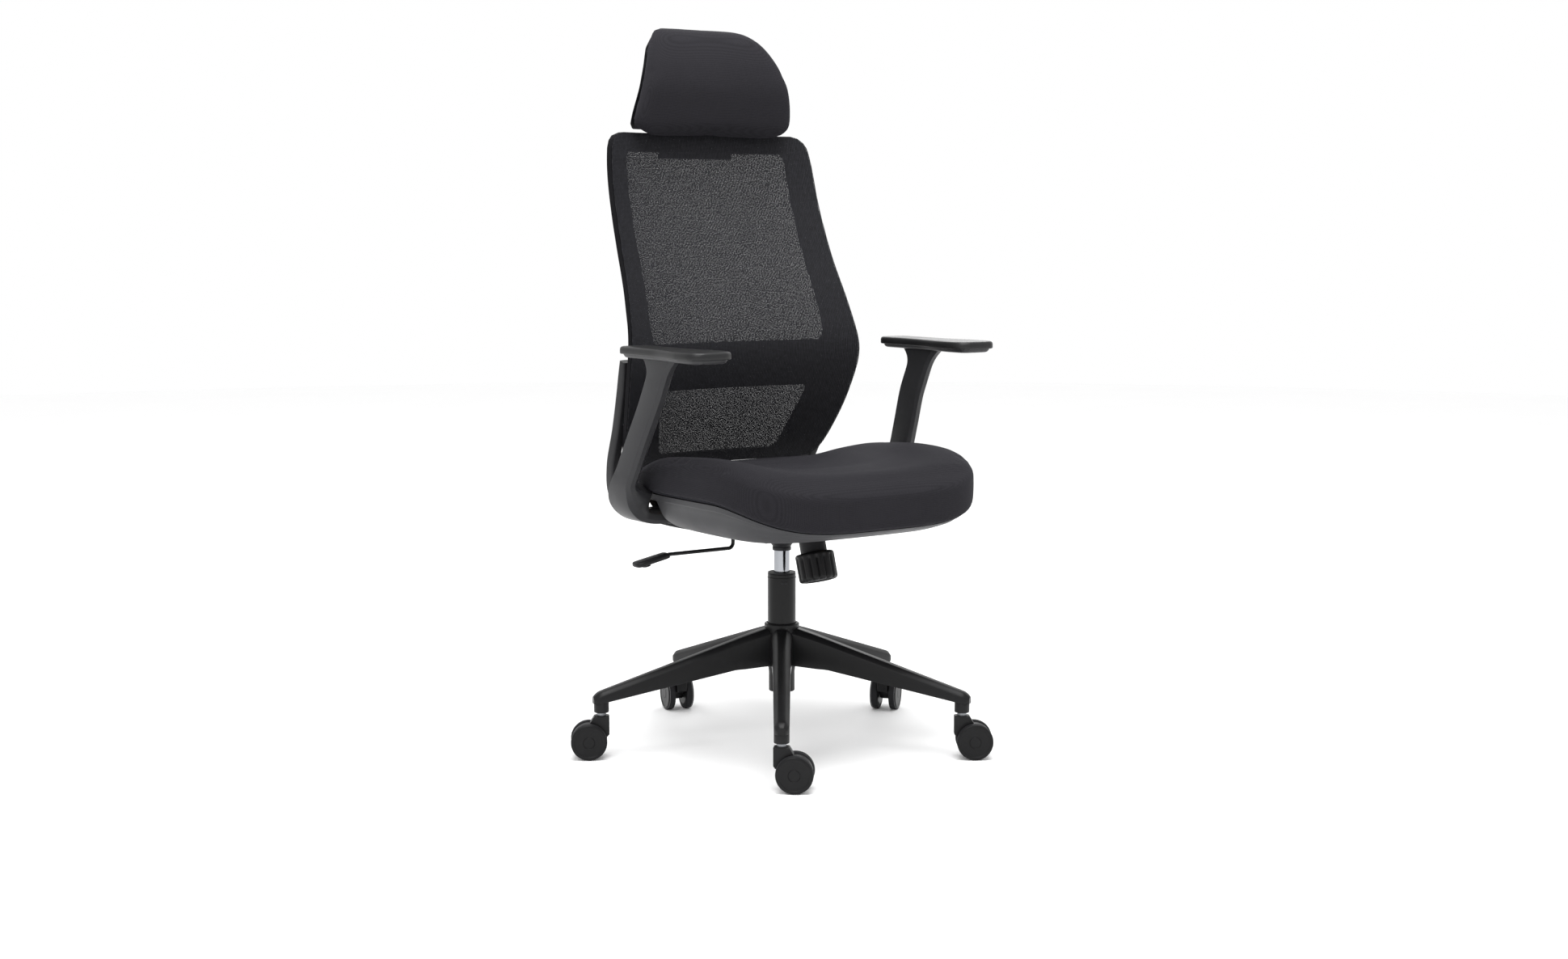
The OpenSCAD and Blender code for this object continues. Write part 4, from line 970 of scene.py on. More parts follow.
@dataclass
class Seat:
    """The seat: a plastic pan below and a foam cushion with a waterfall front above."""

    wardrobe: Wardrobe
    half_w: float = 256.0
    front: float = 238.0
    rear: float = 252.0
    mid_y: float = -68.0
    board_z: float = 431.0
    seam_z: float = 466.0
    edge_z: float = 513.0
    belly_z: float = 395.0
    dish: float = 17.0
    side_rise: float = 14.0
    front_drop: float = 50.0
    drop_from: float = -140.0
    drop_len: float = 166.0
    pan_wall: float = 3.5
    count: int = 168

    def outline(self, share: Array) -> tuple[Array, Array]:
        """The seat's plan at a share of its full outline.

        Formula: a superellipse of exponent 3.9 in front of its widest line and 4.4 behind it, narrowed
        behind by a few hundredths of the squared distance.

        Args:
            share: A share for each ring.

        Returns:
            X and Y, rings by points.
        """
        a = 2 * np.pi * (np.arange(self.count) + 0.5) / self.count
        c, s = np.cos(a), np.sin(a)
        fore = s < 0
        e = np.where(fore, 2 / 3.9, 2 / 4.4)
        length = np.where(fore, self.front, self.rear)
        y = length * np.sign(s) * np.abs(s) ** e
        x = self.half_w * np.sign(c) * np.abs(c) ** e
        x = x * np.where(fore, 1.0, 1 - 0.06 * (y / self.rear) ** 2)
        share = np.asarray(share, float)[:, None]
        return share * x, self.mid_y + share * y

    def drop(self, y: Array) -> Array:
        """How far the waterfall front has fallen at y."""
        return self.front_drop * np.maximum(0, (self.drop_from - y) / self.drop_len) ** 1.9

    def rise(self, y: Array) -> Array:
        """How far the side edges have risen at y, towards the front."""
        return self.side_rise * (smooth((120 - y) / 240) - 1.6 * smooth((y - 20) / 150))

    def rings(self, rows: Array) -> Array:
        """Rings of the cushion from rows of (share, height, share of rise, share of fall)."""
        x, y = self.outline(rows[:, 0])
        z = rows[:, 1][:, None] - rows[:, 3][:, None] * self.drop(y) + rows[:, 2][:, None] * self.rise(y)
        return np.stack([x, y, z], axis=-1)

    def cushion(self) -> Form:
        """The cushion: rings under the seam, up the side, over a soft edge and in to a shallow dish."""
        edge, low = self.edge_z, self.board_z + 12.4
        keys = np.array([
            [0.02, low, 0, 0], [0.4, low, 0, 0], [0.855, low + 0.2, 0, 0], [0.948, self.seam_z - 0.5, 0, 1],
            [0.982, self.seam_z + 2, 0, 1], [0.996, self.seam_z + 9, 0.1, 1],
            [1.0, self.seam_z + 24, 0.45, 1], [0.999, edge - 9, 0.85, 1], [0.996, edge - 3, 0.97, 1], [0.985, edge + 0.4, 1, 1],
            [0.955, edge + 2.2, 1, 1], [0.88, edge + 3.2, 1, 1], [0.76, edge + 0.5, 1, 1],
            [0.6, edge - 0.45 * self.dish, 0.8, 1], [0.4, edge - 0.82 * self.dish, 0.6, 1],
            [0.2, edge - self.dish, 0.5, 1], [0.02, edge - self.dish, 0.5, 1],
        ])
        s = np.linspace(0, 1, 76)
        return Form.loft(self.rings(spline(keys, s)))

    def welt(self) -> Form:
        """The welt that closes the cushion's cover along its lower seam."""
        row = np.array([[0.967, self.seam_z + 1.2, 0, 1]])
        return Form.tube(self.rings(row)[0], 1.7, 10, closed=True)

    def pan(self) -> Form:
        """The pan: an outer and an inner bowl joined at the rim, with a small step near the rim."""
        keys = np.array([
            [0.3, 1], [0.56, 1], [0.74, 0.94], [0.87, 0.66], [0.925, 0.3], [0.942, 0.16], [0.948, 0.13],
            [0.955, 0],
        ])
        s = np.linspace(0, 1, 40)
        rows = spline(keys, s)

        def bowl(inset: float) -> Array:
            """One face of the bowl, moved in by the wall."""
            x, y = self.outline(rows[:, 0] - inset / self.half_w)
            fall = self.drop(y)
            deep = (self.seam_z - 4 - self.belly_z) * (1 - 0.9 * fall / self.front_drop)
            lift = np.where(rows[:, 1][:, None] > 0.02, inset, 0.0)
            return np.stack([x, y, self.seam_z - 4 - fall - rows[:, 1][:, None] * deep + lift], axis=-1)

        outer, inner = bowl(0.0), bowl(self.pan_wall)
        middle = [np.repeat(b[0].mean(0)[None], self.count, 0)[None] for b in (outer, inner)]
        return Form.grid(np.concatenate([middle[0], outer, inner[::-1], middle[1]]), closed_v=True)

    def cut(self, obj: bpy.types.Object, low: Sequence[float], high: Sequence[float]) -> None:
        """Takes a box out of a piece."""
        tool = Piece("tool", "seat", self.wardrobe.shell).object_from(Form.block(low, high, 0.5, 40.0))
        cutter = obj.modifiers.new("cut", "BOOLEAN")
        cutter.operation = "DIFFERENCE"
        cutter.solver = "EXACT"
        cutter.object = tool
        freeze(obj)
        bpy.data.objects.remove(tool)

    def build(self) -> None:
        """Builds the pan, the cushion and its welt."""
        kit = self.wardrobe
        pan_piece = Piece("pan_shell", "seat", kit.shell, "shell", ("seat_pan",), crease_angle=40)
        pan = pan_piece.object_from(self.pan())
        for low, high in (
            ((-62, -158, 300), (62, 150, 600)),
            ((-126, -25, 300), (-61, 7, 423)),
            ((94, 38, 401), (294, 122, 450)),
            ((-294, 38, 401), (-94, 122, 450)),
        ):
            self.cut(pan, low, high)
        shade(pan, 40)
        pan_piece.placed(pan)
        cushion_piece = Piece(
            "cushion", "seat", kit.seat_cloth, "seat_fabric", ("seat_cushion",), crease_angle=180
        )
        cushion = cushion_piece.object_from(self.cushion())
        Padding(voxel=4.0, cap=5.0, floor=self.seam_z + 30, pressure=3.0).swell(cushion)
        cushion_piece.placed(cushion)
        Piece("cushion_welt", "seat", kit.seam_cloth, "seat_fabric").make(self.welt())


def freeze(obj: bpy.types.Object) -> None:
    """Makes an object's modifiers part of its mesh."""
    graph = bpy.context.evaluated_depsgraph_get()
    graph.update()
    made = bpy.data.meshes.new_from_object(obj.evaluated_get(graph))
    old = obj.data
    obj.modifiers.clear()
    obj.data = made
    bpy.data.meshes.remove(old)


@dataclass(frozen=True)
class Padding:
    """Foam under a cover: the shape is swollen by a short cloth simulation and held near its cut."""

    voxel: float
    cap: float
    floor: float
    pressure: float

    def swell(self, obj: bpy.types.Object) -> None:
        """Swells an object's mesh in place.

        Formula: each point's travel in the simulation is cut to the cap, scaled down to nothing below
        the floor height, and added to its place.

        Args:
            obj: The object, whose mesh is closed.
        """
        remesh = obj.modifiers.new("even", "REMESH")
        remesh.mode = "VOXEL"
        remesh.voxel_size = self.voxel * MM
        freeze(obj)
        count = len(obj.data.vertices)
        rest = np.zeros(count * 3, np.float32)
        obj.data.vertices.foreach_get("co", rest)
        rest = rest.reshape(-1, 3)
        cloth = obj.modifiers.new("foam", "CLOTH")
        cloth.settings.quality = 4
        cloth.settings.use_pressure = True
        cloth.settings.uniform_pressure_force = self.pressure
        cloth.settings.tension_stiffness = cloth.settings.compression_stiffness = 20
        cloth.settings.bending_stiffness = 2
        cloth.settings.effector_weights.gravity = 0
        cloth.collision_settings.use_collision = False
        scene = bpy.context.scene
        for step in range(1, 21):
            scene.frame_set(step)
        graph = bpy.context.evaluated_depsgraph_get()
        soft = obj.evaluated_get(graph)
        moved = np.zeros(count * 3, np.float32)
        soft.data.vertices.foreach_get("co", moved)
        travel = moved.reshape(-1, 3) - rest
        obj.modifiers.clear()
        scene.frame_set(1)
        size = np.linalg.norm(travel, axis=1)
        travel *= np.minimum(1.0, self.cap * MM / np.maximum(size, 1e-9))[:, None]
        travel *= smooth((rest[:, 2] / MM - self.floor) / 14.0)[:, None]
        obj.data.vertices.foreach_set("co", (rest + travel).astype(np.float32).ravel())
        obj.data.update()
        even_out(obj, 2)
        finer = obj.modifiers.new("finer", "SUBSURF")
        finer.levels = finer.render_levels = 1
        shade(obj, 180)


def even_out(obj: bpy.types.Object, rounds: int) -> None:
    """Relaxes a remeshed surface, so that the voxel steps don't show."""
    shape = bmesh.new()
    shape.from_mesh(obj.data)
    for _ in range(rounds):
        bmesh.ops.smooth_vert(
            shape, verts=shape.verts, factor=0.5, use_axis_x=True, use_axis_y=True, use_axis_z=True
        )
    shape.to_mesh(obj.data)
    shape.free()


# ---- arms ----------------------------------------------------------------------------------------


@dataclass
class Arms:
    """The two fixed arms: a curved blade that flares into the pad's plate, and a soft pad."""

    wardrobe: Wardrobe
    half: float = 278.0
    rise: float = 287.0
    board_z: float = 431.0
    blade_w: float = 54.0
    blade_t: float = 21.0
    foot_w: float = 60.0
    foot_t: float = 25.0
    foot_y: float = 84.0
    foot_in: float = 96.0
    pad_l: float = 260.0
    pad_w: float = 60.0
    pad_front_w: float = 86.0
    pad_t: float = 13.0
    plate_h: float = 7.0
    pad_rear: float = 49.0

    def blade(self) -> Form:
        """The right arm's blade.

        Formula: a squarish section with bevelled edges, carried along a smooth curve from the pad down
        and in under the seat; its width flares towards the pad, and it thickens inwards at the bend.
        """
        path = [
            [0, -46, self.rise - 17], [0, -37, 234], [2, -14, 186], [9, 10, 132], [15, 32, 82], [17, 48, 50],
            [6, 66, 20], [-18, 78, -1], [-52, self.foot_y, -11.5], [-92, self.foot_y, -12.5],
        ]
        s = np.linspace(0, 1, 90)
        at = spline(path, s) + np.array([self.half, 0, self.board_z])
        run = np.gradient(at, axis=0)
        run /= np.linalg.norm(run, axis=1)[:, None]
        ease = smooth(s / 0.16)[:, None]
        d = (1 - ease) * np.array([0, 0, -1.0]) + ease * run
        d /= np.linalg.norm(d, axis=1)[:, None]
        wide = np.array([0, 1.0, 0]) - d * d[:, 1:2]
        wide /= np.linalg.norm(wide, axis=1)[:, None]
        thin = np.cross(d, wide)
        low = smooth((s - 0.55) / 0.3)
        flare = 56 * np.maximum(0, 1 - s / 0.14) ** 2.2
        bend = 32 * np.maximum(0, 1 - ((s - 0.67) / 0.17) ** 2) ** 2
        w = self.blade_w + (self.foot_w - self.blade_w) * low + flare + 0.5 * bend
        t = self.blade_t + (self.foot_t - self.blade_t) * low + bend
        at = at - 0.5 * bend[:, None] * thin
        side = np.array([[0.5, 0.2], [0.485, 0.26], [0.4, 0.485], [0.37, 0.5]])
        flip = np.array([-1, 1])
        q = np.concatenate([[[0.5, -0.2]], side, side[::-1] * flip, -side, side[:0:-1] * -flip])
        rings = swept(at, wide, thin, w, t, q)
        rings[..., 1] -= 0.06 * flare[:, None]
        return Form.loft(rings)

    def outline(self, grow: float) -> Array:
        """The pad's plan, a closed smooth curve through its corners, grown by some millimetres."""
        a, b, rear, long = self.pad_w / 2, self.pad_front_w / 2, self.pad_rear, self.pad_l
        front = rear - long
        key = np.array([
            [0, rear], [a - 12, rear - 0.8], [a - 2.5, rear - 9], [a, rear - 26], [a, rear - 0.36 * long],
            [a + 1.5, rear - 0.5 * long], [b - 3, rear - 0.7 * long], [b, rear - 0.8 * long],
            [b - 3, front + 20], [b - 16, front + 4], [b - 30, front + 0.4], [0, front],
            [-b + 30, front + 0.6], [-b + 15, front + 4], [-b + 2.5, front + 17],
            [-b, rear - 0.82 * long], [-b + 3, rear - 0.7 * long], [-a - 1.5, rear - 0.5 * long],
            [-a, rear - 0.36 * long], [-a, rear - 26], [-a + 2.5, rear - 9], [-a + 12, rear - 0.8], [0, rear],
        ])
        p = spline(key, np.linspace(0, 1, 161))[:-1]
        step = np.roll(p, -1, 0) - np.roll(p, 1, 0)
        step /= np.linalg.norm(step, axis=1)[:, None]
        out = np.column_stack([-step[:, 1], step[:, 0]])
        sign = np.sign((out * (p - p.mean(0))).sum())
        return p + sign * grow * out

    def stack(self, rows: Sequence[tuple[float, float]], base_z: float) -> Form:
        """A solid of pad outlines: each row is a height above base_z and how far the outline is grown."""
        plans = [(self.outline(grow) + [self.half, 0], base_z + z) for z, grow in rows]
        return Form.loft(np.array([np.column_stack([plan, np.full(len(plan), z)]) for plan, z in plans]))

    def pad(self) -> Form:
        """The soft pad: straight sides, a rounded upper edge and a slightly crowned top."""
        t = self.pad_t
        rows = [
            (0, -1.6), (0.3, -0.7), (1.4, 0), (t - 6, 0), (t - 4, -0.4), (t - 2.2, -1.4), (t - 1, -3.0),
            (t - 0.35, -5.4), (t - 0.05, -9.5), (t, -15),
        ]
        return self.stack(rows, self.board_z + self.rise - t)

    def plate(self) -> Form:
        """The hard plate under the pad, drawn in towards the blade."""
        h = self.plate_h
        rows = [(0, -15), (0.4, -12), (1.6, -9), (h - 2, -6.5), (h - 0.6, -6), (h, -6.6)]
        return self.stack(rows, self.board_z + self.rise - self.pad_t - h)

    def foot(self) -> Form:
        """The flat foot under the seat board."""
        return Form.block(
            (self.foot_in, self.foot_y - self.foot_w / 2, self.board_z - self.foot_t),
            (self.half - 78, self.foot_y + self.foot_w / 2, self.board_z - 0.1), 1.5, 20.0,
        )

    def build(self) -> None:
        """Builds both arms and both pads."""
        kit = self.wardrobe
        arm = Form.joined([self.blade(), self.plate(), self.foot()])
        pad = self.pad()
        for word, hard, soft in (("right", arm, pad), ("left", arm.mirrored(), pad.mirrored())):
            Piece(
                f"armrest_{word}", "seat", kit.arm, "charcoal_plastic", (f"arm_{word}",), crease_angle=28
            ).make(hard)
            top = Piece(
                f"armpad_{word}", "seat", kit.pad, "pad", (f"arm_pad_{word}",), crease_angle=40
            ).make(soft)


# ---- back ----------------------------------------------------------------------------------------


@dataclass
class Back:
    """The back: a curved frame with two windows, the mesh drawn over it, and the yoke that carries it."""

    wardrobe: Wardrobe
    low_z: float = 488.0
    height: float = 595.0
    half: float = 246.0
    frame_t: float = 24.0
    mesh_t: float = 1.2
    wrap: float = 32.0
    board_z: float = 431.0
    lumbar: tuple = (
        (0, 213), (0.1, 184), (0.22, 156), (0.36, 137), (0.5, 158), (0.66, 196), (0.82, 227), (1, 247),
    )
    sides: tuple = (
        (0, 0.83), (0.08, 0.9), (0.2, 0.965), (0.33, 1), (0.45, 0.97), (0.6, 0.925), (0.75, 0.9), (0.9, 0.88),
        (1, 0.84),
    )
    window: tuple = (
        (0, 0.53), (0.06, 0.56), (0.16, 0.63), (0.25, 0.7), (0.4, 0.775), (0.6, 0.755), (0.8, 0.74),
        (1, 0.715),
    )
    lower: tuple[float, float] = (0.035, 0.235)
    upper: tuple[float, float] = (0.375, 0.945)

    def back_y(self, x: Array, s: Array) -> Array:
        """The face's place fore and aft.

        Formula: the lumbar curve at the height's share, less the forward wrap, which grows with the
        two-and-a-half power of the distance from the middle.
        """
        return curve_at(self.lumbar, s) - self.wrap * np.abs(x / 230.0) ** 2.5

    def thick(self, s: Array) -> Array:
        """The frame's thickness: thinner below, full near the top."""
        return self.frame_t * (0.83 + 0.17 * smooth((s - 0.35) / 0.4))

    def shares(self) -> tuple[Array, Array]:
        """Row heights as shares, and column places from -1 to 1 with the window's edge at its own column."""
        lo, hi = self.lower, self.upper
        rows = np.concatenate([
            [0, 0.01, lo[0] - 0.008], np.linspace(lo[0], lo[1], 19),
            np.linspace(lo[1] + 0.008, hi[0] - 0.008, 12), np.linspace(hi[0], hi[1], 49),
            [hi[1] + 0.008, 0.975, 0.99, 1.0],
        ])
        cols = np.concatenate([[-1, -0.96, -0.9, -0.84], np.linspace(-0.8, 0.8, 41), [0.84, 0.9, 0.96, 1]])
        return rows, cols

    def surface(self, rows: Array, cols: Array, back: Array, grow: float = 0.0) -> Array:
        """The back's face set back by some millimetres.

        Args:
            rows: Shares of the height.
            cols: Places from -1 to 1; 0.8 is the window's edge and 1 the outer edge.
            back: How far each point is set back, rows by columns or one number.
            grow: How far the outer edge stands out.

        Returns:
            Rows by columns by three.
        """
        def ends(lo: float, hi: float, r: float) -> Array:
            """How far a rounded end has drawn in: nothing along the span, 1 at its very ends."""
            d = np.clip(np.minimum(rows - lo, hi - rows) / r, 0, 1)
            return 1 - np.sqrt(np.maximum(0, 1 - (1 - d) ** 2))

        draw = np.where(rows <= 0.3, ends(*self.lower, 0.035), ends(*self.upper, 0.035))
        inside = np.zeros(len(rows), bool)
        for lo, hi in (self.lower, self.upper):
            inside |= (rows >= lo) & (rows <= hi)
        win = self.half * curve_at(self.window, rows) - 8 * np.where(inside, draw, 1.0)
        out = self.half * curve_at(self.sides, rows) - 26 * ends(0, 1, 0.045) + grow
        c = np.abs(cols)[None, :]
        w, o = win[:, None], out[:, None]
        x = np.sign(cols)[None, :] * np.where(c <= 0.8, w * c / 0.8, w + (o - w) * (c - 0.8) / 0.2)
        s = np.repeat(rows[:, None], len(cols), 1)
        y = self.back_y(x, s) + back
        return np.stack([x, y, self.low_z + s * self.height], axis=-1)

    def holes(self, rows: Array, cols: Array) -> Array:
        """Which cells are solid."""
        r, c = (rows[:-1] + rows[1:]) / 2, (cols[:-1] + cols[1:]) / 2
        tall = ((r > self.lower[0]) & (r < self.lower[1])) | ((r > self.upper[0]) & (r < self.upper[1]))
        return ~(tall[:, None] & (np.abs(c) < 0.8)[None, :])

    def frame_form(self) -> Form:
        """The frame between its face and its rear, eased along its outer edge."""
        rows, cols = self.shares()
        t = self.thick(rows)[:, None] * np.ones(len(cols))[None, :]
        side = smooth((np.abs(cols) - 0.9) / 0.1)[None, :]
        end = smooth((0.012 - np.minimum(rows, 1 - rows)) / 0.012)[:, None]
        edge = np.maximum(side, end)
        face, rear = (self.surface(rows, cols, back) for back in (0.2 + 1.5 * edge, t - 6.0 * edge))
        return Form.thick(face, rear, self.holes(rows, cols))

    def cloth(self) -> Form:
        """The mesh over the whole face, with UVs in metres."""
        rows = np.concatenate([[0, 0.006], np.linspace(0.02, 0.98, 66), [0.994, 1.0]])
        cols = np.concatenate([[-1, -0.985], np.linspace(-0.96, 0.96, 53), [0.985, 1]])
        face = self.surface(rows, cols, -self.mesh_t)
        rear = self.surface(rows, cols, -0.1)
        form = Form.thick(face, rear)
        across, up = (
            np.insert(np.cumsum(np.linalg.norm(np.diff(face, axis=k), axis=2), axis=k), 0, 0, axis=k)
            for k in (1, 0)
        )
        middle = len(cols) // 2
        across -= across[:, middle][:, None]
        height = np.repeat(up[:, middle][:, None], len(cols), 1)
        uv = np.stack([across * MM, height * MM], -1).reshape(-1, 2)
        form.uv = np.concatenate([uv, uv])
        return form

    def yoke_arm(self) -> Form:
        """The right upright.

        Formula: a squarish section carried along a smooth curve from behind the lumbar bulge, down and
        in under the seat, turning from fore-and-aft at the top to flat below.
        """
        path = [
            [-14, 143, 253], [-17, 157, 200], [-22, 182, 130], [-29, 214, 62], [-46, 236, 8], [-80, 240, -19],
            [-120, 219, -38], [-164, 173, -50], [-202, 128, -53],
        ]
        s = np.linspace(0, 1, 80)
        at = spline(path, s) + np.array([self.half, 0, self.board_z])
        d = np.gradient(at, axis=0)
        d /= np.linalg.norm(d, axis=1)[:, None]
        low = smooth((s - 0.45) / 0.35)
        hint = np.outer(1 - low, [0, 1, 0]) + np.outer(low, [-0.62, 0.78, 0])
        wide = hint - d * (hint * d).sum(1)[:, None]
        wide /= np.linalg.norm(wide, axis=1)[:, None]
        thin = np.cross(d, wide)
        w = 22 + 36 * low - 6 * np.maximum(0, 1 - s / 0.12) ** 2
        t = 17 - 6 * low
        return Form.loft(swept(at, wide, thin, w, t, squircle(28, 5.0)))

    def build(self) -> None:
        """Builds the frame, the mesh and the yoke."""
        kit = self.wardrobe
        Piece(
            "back_shell", "seat", kit.frame, "charcoal_plastic", ("back_frame",), crease_angle=50, bevel=1.2
        ).make(self.frame_form())
        cloth = Piece(
            "back_cloth", "seat", kit.mesh_cloth, "mesh_fabric", ("back_mesh",), crease_angle=60
        ).make(self.cloth())
        block = Form.block((-54, 84, self.board_z - 59), (54, 146, self.board_z - 0.2), 2.0, 16.0)
        arm = self.yoke_arm()
        form = Form.joined([block, arm, arm.mirrored()])
        Piece("yoke", "seat", kit.charcoal, "charcoal_plastic", ("back_yoke",), crease_angle=40).make(form)


# ---- headrest ------------------------------------------------------------------------------------


@dataclass
class Headrest:
    """The headrest: a padded front on a thin shell, its slider and the bracket on the back's top rail."""

    wardrobe: Wardrobe
    low_z: float = 1087.0
    height: float = 183.0
    width: float = 332.0
    top_width: float = 184.0
    thickness: float = 58.0
    rail_y: float = 271.0
    hinge_z: float = 1149.0
    hug: float = 20.0
    sag: float = 11.0
    narrow: tuple = (
        (0, 0), (0.15, 0), (0.4, 0.126), (0.6, 0.291), (0.75, 0.448), (0.87, 0.621), (0.95, 0.807), (1, 1),
    )
    lean: tuple = (
        (0, 8), (0.06, 5), (0.15, 0), (0.4, -11), (0.6, -6.3), (0.75, 4), (0.87, 15.5), (0.95, 27), (1, 38),
    )

    def ring(self, s: Array, k: Array, front: Array, rear: Array, sag: float, count: int = 96) -> Array:
        """Sections across the headrest.

        Formula: a superellipse of exponent 3.3 whose front half is narrowed by k and its rear half by a
        fifth as much, leaning back with height and hugging forward at the sides.

        Args:
            s: Shares of the height.
            k: How wide the front half is, as a share.
            front: Depth in front of the line where pad and shell meet.
            rear: Depth behind that line.
            sag: How far the front lip hangs at the bottom.
            count: Points in each ring.

        Returns:
            Rings by points by three.
        """
        q = squircle(count, 3.3)
        s, k, front, rear = (np.asarray(v, float)[:, None] for v in (s, k, front, rear))
        w = self.width + (self.top_width - self.width) * curve_at(self.narrow, s)
        fore = q[None, :, 1] < 0
        x = q[None, :, 0] * w * np.where(fore, k, k + (1 - k) * 0.8)
        hug = self.hug * (np.abs(x) / 160) ** 2.2
        y = self.rail_y - 26 + curve_at(self.lean, s) + 2 * q[None, :, 1] * np.where(fore, front, rear) - hug
        lip = sag * smooth((-q[None, :, 1] - 0.1) / 0.25) * (1 - np.clip(s, 0, 1)) ** 4
        z = self.low_z + s * self.height - lip
        return np.stack([x, y, z], axis=-1)

    def pad(self) -> Form:
        """The padded front, crowned and drawn in at its top and bottom."""
        keys = np.array([
            [0.004, 0.8, 0.5], [0.02, 0.92, 0.75], [0.06, 0.985, 0.94], [0.12, 1, 1], [0.3, 1, 1],
            [0.5, 1, 1], [0.68, 1, 0.97], [0.82, 0.995, 0.9], [0.91, 0.98, 0.8], [0.97, 0.95, 0.62],
            [0.997, 0.88, 0.36],
        ])
        share, narrow, deep = spline(keys, np.linspace(0, 1, 60)).T
        return Form.loft(self.ring(share, narrow, deep * (self.thickness - 14), deep * 3.4, self.sag))

    def shell(self) -> Form:
        """The plastic shell behind the pad, a bent plate with eased edges, and the two ears of its hinge."""
        rows = np.concatenate([[0.012, 0.02], np.linspace(0.04, 0.9, 40), [0.92, 0.93]])
        cols = np.concatenate([[-1, -0.985], np.linspace(-0.96, 0.96, 45), [0.985, 1]])
        w = 0.5 * (self.width + (self.top_width - self.width) * curve_at(self.narrow, rows))
        w = w * np.interp(rows, [0, 0.02, 0.06, 0.5, 0.8, 0.93], [0.88, 0.94, 0.97, 0.96, 0.94, 0.86])
        x = w[:, None] * cols[None, :]
        line = self.rail_y - 20 + curve_at(self.lean, rows)[:, None] - self.hug * (np.abs(x) / 160) ** 2.2
        z = self.low_z + self.height * rows[:, None] + 0 * x
        ends = smooth((np.minimum(rows - 0.012, 0.93 - rows)) / 0.03)[:, None]
        depth = 1.2 + 6.6 * ends * smooth((1 - np.abs(cols)) / 0.06)[None, :]
        plate = Form.thick(np.stack([x, line, z], -1), np.stack([x, line + depth, z], -1))
        ears = [
            Form.block(
                (x, self.rail_y - 25, self.hinge_z - 9), (x + 9, self.rail_y - 4, self.hinge_z + 9), 2.0, 8.0
            )
            for x in (-24, 15)
        ]
        return Form.joined([plate, *ears])

    def build(self) -> None:
        """Builds the pad and the shell."""
        kit = self.wardrobe
        piece = Piece(
            "head_cushion", "headrest", kit.seat_cloth, "seat_fabric", ("headrest_pad",), crease_angle=180
        )
        pad = piece.object_from(self.pad())
        Padding(voxel=4.5, cap=4.0, floor=self.low_z - 20, pressure=4.0).swell(pad)
        piece.placed(pad)
        Piece(
            "head_shell", "headrest", kit.charcoal, "charcoal_plastic", ("headrest_shell",)
        ).make(self.shell())


# ---- what the CAD's own parts wear ---------------------------------------------------------------


@dataclass
class PlainParts:
    """Carried-over parts that need no new shape, each with its finish."""

    wardrobe: Wardrobe

    def table(self) -> dict[str, tuple[bpy.types.Material, str]]:
        """Finish and slot for each carried-over node."""
        kit = self.wardrobe
        worn = (
            ((kit.charcoal, "charcoal_plastic"), (
                "guide_bush", "spring_cup", "headrest_bracket", "headrest_mast", "headrest_slider",
            )),
            ((kit.dark_steel, "black_steel"), ("tilt_housing", "lever_rod", "top_plate")),
            ((kit.rubber, "rubber"), ("stop_bumper",)),
            ((kit.chrome, "chrome"), ("gas_cylinder",)),
            ((kit.board, "board"), ("seat_board",)),
            ((kit.steel, "steel"), (
                "thrust_bearing", "piston_rod", "retaining_clip", "tilt_axle", "tension_spring",
                "tension_screw", "spring_nut", "valve_button", "lever_cradle", "seat_bolts", "back_screws",
                "headrest_pin", "caster_stems", *(f"caster_axle_{k + 1}" for k in range(LEGS)),
            )),
        )
        return {node: finish for finish, nodes in worn for node in nodes}

    def dress(self) -> None:
        """Gives each node its finish."""
        table = self.table()
        for name, (finish, slot) in table.items():
            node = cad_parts[name]
            node.data.materials.clear()
            node.data.materials.append(finish)
        left = [n for n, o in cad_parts.items() if n not in table and not o.hide_render]
        if left:
            raise ValueError(f"nodes with no finish: {left}")


# ---- studio --------------------------------------------------------------------------------------


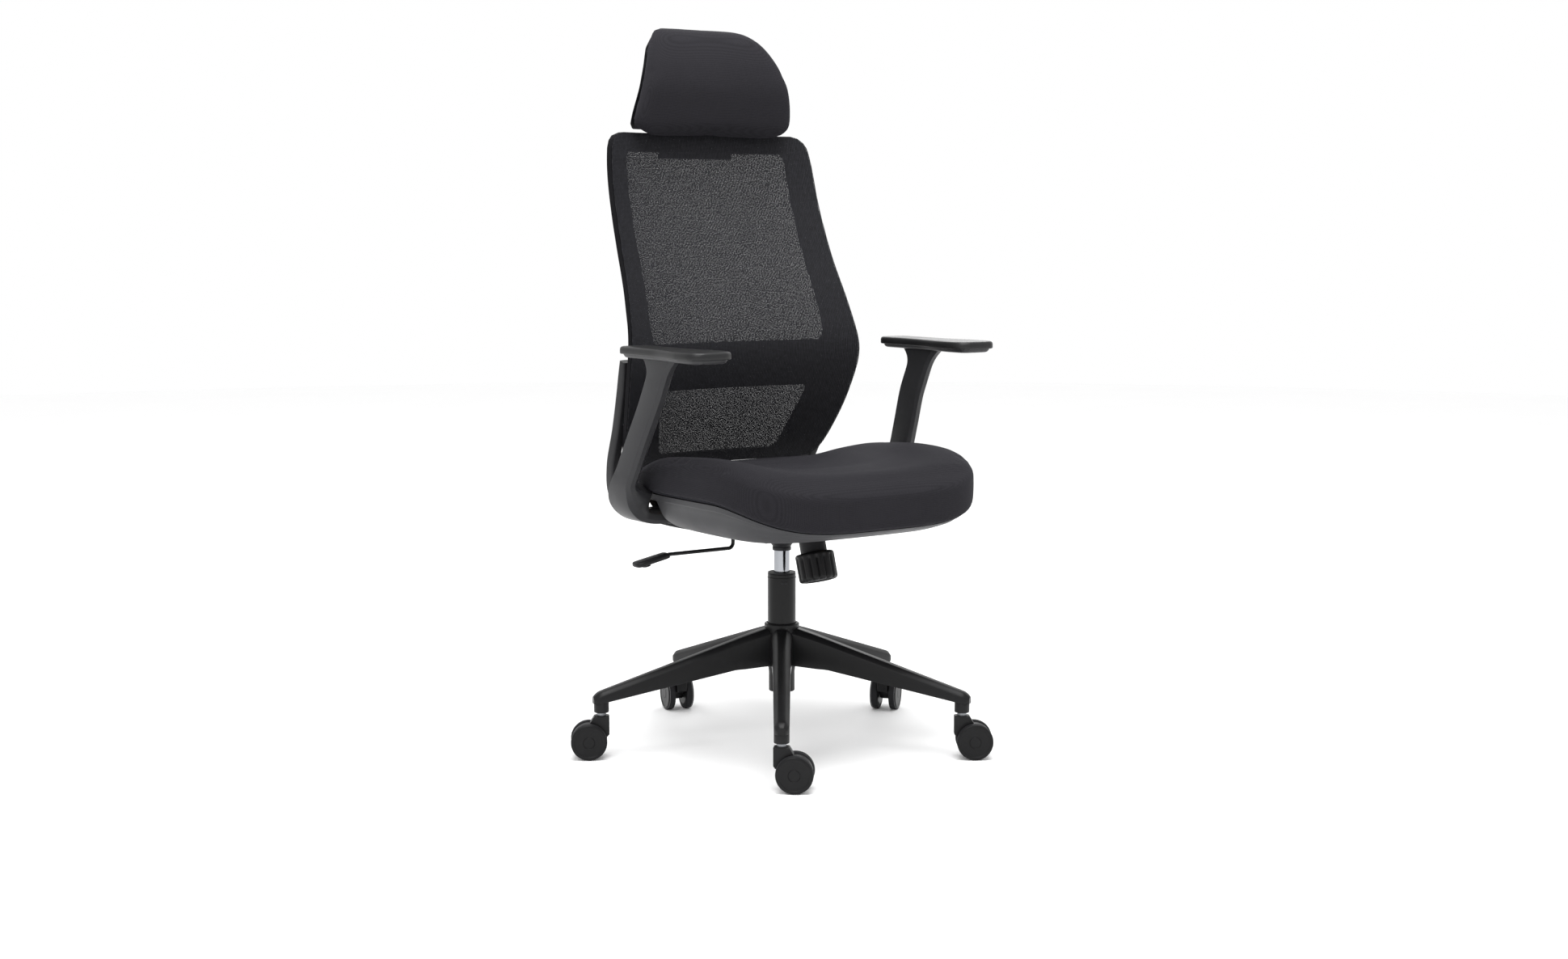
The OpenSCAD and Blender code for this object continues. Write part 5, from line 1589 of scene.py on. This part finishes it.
@dataclass
class Studio:
    """A pale floor, a soft white surround, large soft lights and the camera."""

    distance: float = 3.824
    camera_z: float = 0.9224
    offset: float = 0.004
    azimuth: float = 35.33
    pitch: float = 6.675
    lens: float = 50.18

    def floor(self) -> None:
        """The floor, a broad plain disc."""
        a = 2 * np.pi * np.arange(64) / 64
        ring = np.column_stack([9 * np.cos(a), 9 * np.sin(a), np.zeros(64)])
        mesh = bpy.data.meshes.new("floor")
        mesh.from_pydata(ring.tolist(), [], [list(range(64))])
        obj = bpy.data.objects.new("floor", mesh)
        bpy.context.scene.collection.objects.link(obj)
        r = Recipe("pale_floor")
        cloud = r.noise(r.coords(), 3.0, 2.0)
        dull, pale = (0.955, 0.955, 0.955, 1), (0.975, 0.975, 0.975, 1)
        r.put(r.skin.inputs["Base Color"], r.between(cloud, dull, pale))
        r.skin.inputs["Roughness"].default_value = 0.8
        r.skin.inputs["Specular IOR Level"].default_value = 0.1
        mesh.materials.append(r.material)

    def light(self, name: str, place: Sequence[float], size: float, power: float) -> None:
        """One large soft light that looks at the chair's middle."""
        data = bpy.data.lights.new(name, "AREA")
        data.shape = "DISK"
        data.size = size
        data.energy = power
        obj = bpy.data.objects.new(name, data)
        bpy.context.scene.collection.objects.link(obj)
        obj.location = place
        aim = np.array([0, 0, 0.6]) - np.array(place)
        obj.rotation_euler = (math.acos(-aim[2] / np.linalg.norm(aim)), 0, math.atan2(-aim[0], aim[1]))

    def build(self) -> None:
        """Puts up the surround, the lights, the floor and the camera."""
        scene = bpy.context.scene
        world = bpy.data.worlds.new("surround")
        scene.world = world
        world.use_nodes = True
        world.node_tree.nodes["Background"].inputs[0].default_value = (1, 1, 1, 1)
        world.node_tree.nodes["Background"].inputs[1].default_value = 1.0
        scene.view_settings.view_transform = "Standard"
        self.floor()
        self.light("overhead", (-0.4, -0.7, 3.4), 2.2, 110)
        self.light("key", (-2.6, -2.2, 2.6), 1.6, 36)
        self.light("rim", (2.2, 2.4, 2.2), 1.6, 24)
        a = math.radians(self.azimuth)
        data = bpy.data.cameras.new("camera")
        data.lens = self.lens
        data.sensor_width = 36
        camera = bpy.data.objects.new("camera", data)
        scene.collection.objects.link(camera)
        camera.location = (
            self.offset * math.cos(a) - self.distance * math.sin(a),
            -self.offset * math.sin(a) - self.distance * math.cos(a),
            self.camera_z,
        )
        camera.rotation_euler = (math.radians(90 - self.pitch), 0, -a)
        scene.camera = camera


def main() -> None:
    """Builds the chair and the studio."""
    logging.basicConfig(level=logging.INFO, format="%(name)s %(message)s")
    wardrobe = Wardrobe()
    base = Base(wardrobe)
    Studio().build()
    for part in (
        base, Casters(wardrobe, base), Column(wardrobe), Controls(wardrobe), Seat(wardrobe), Arms(wardrobe),
        Back(wardrobe), Headrest(wardrobe),
    ):
        part.build()
        LOG.info("%s is built", type(part).__name__)
    PlainParts(wardrobe).dress()


if __name__ == "__main__":
    main()
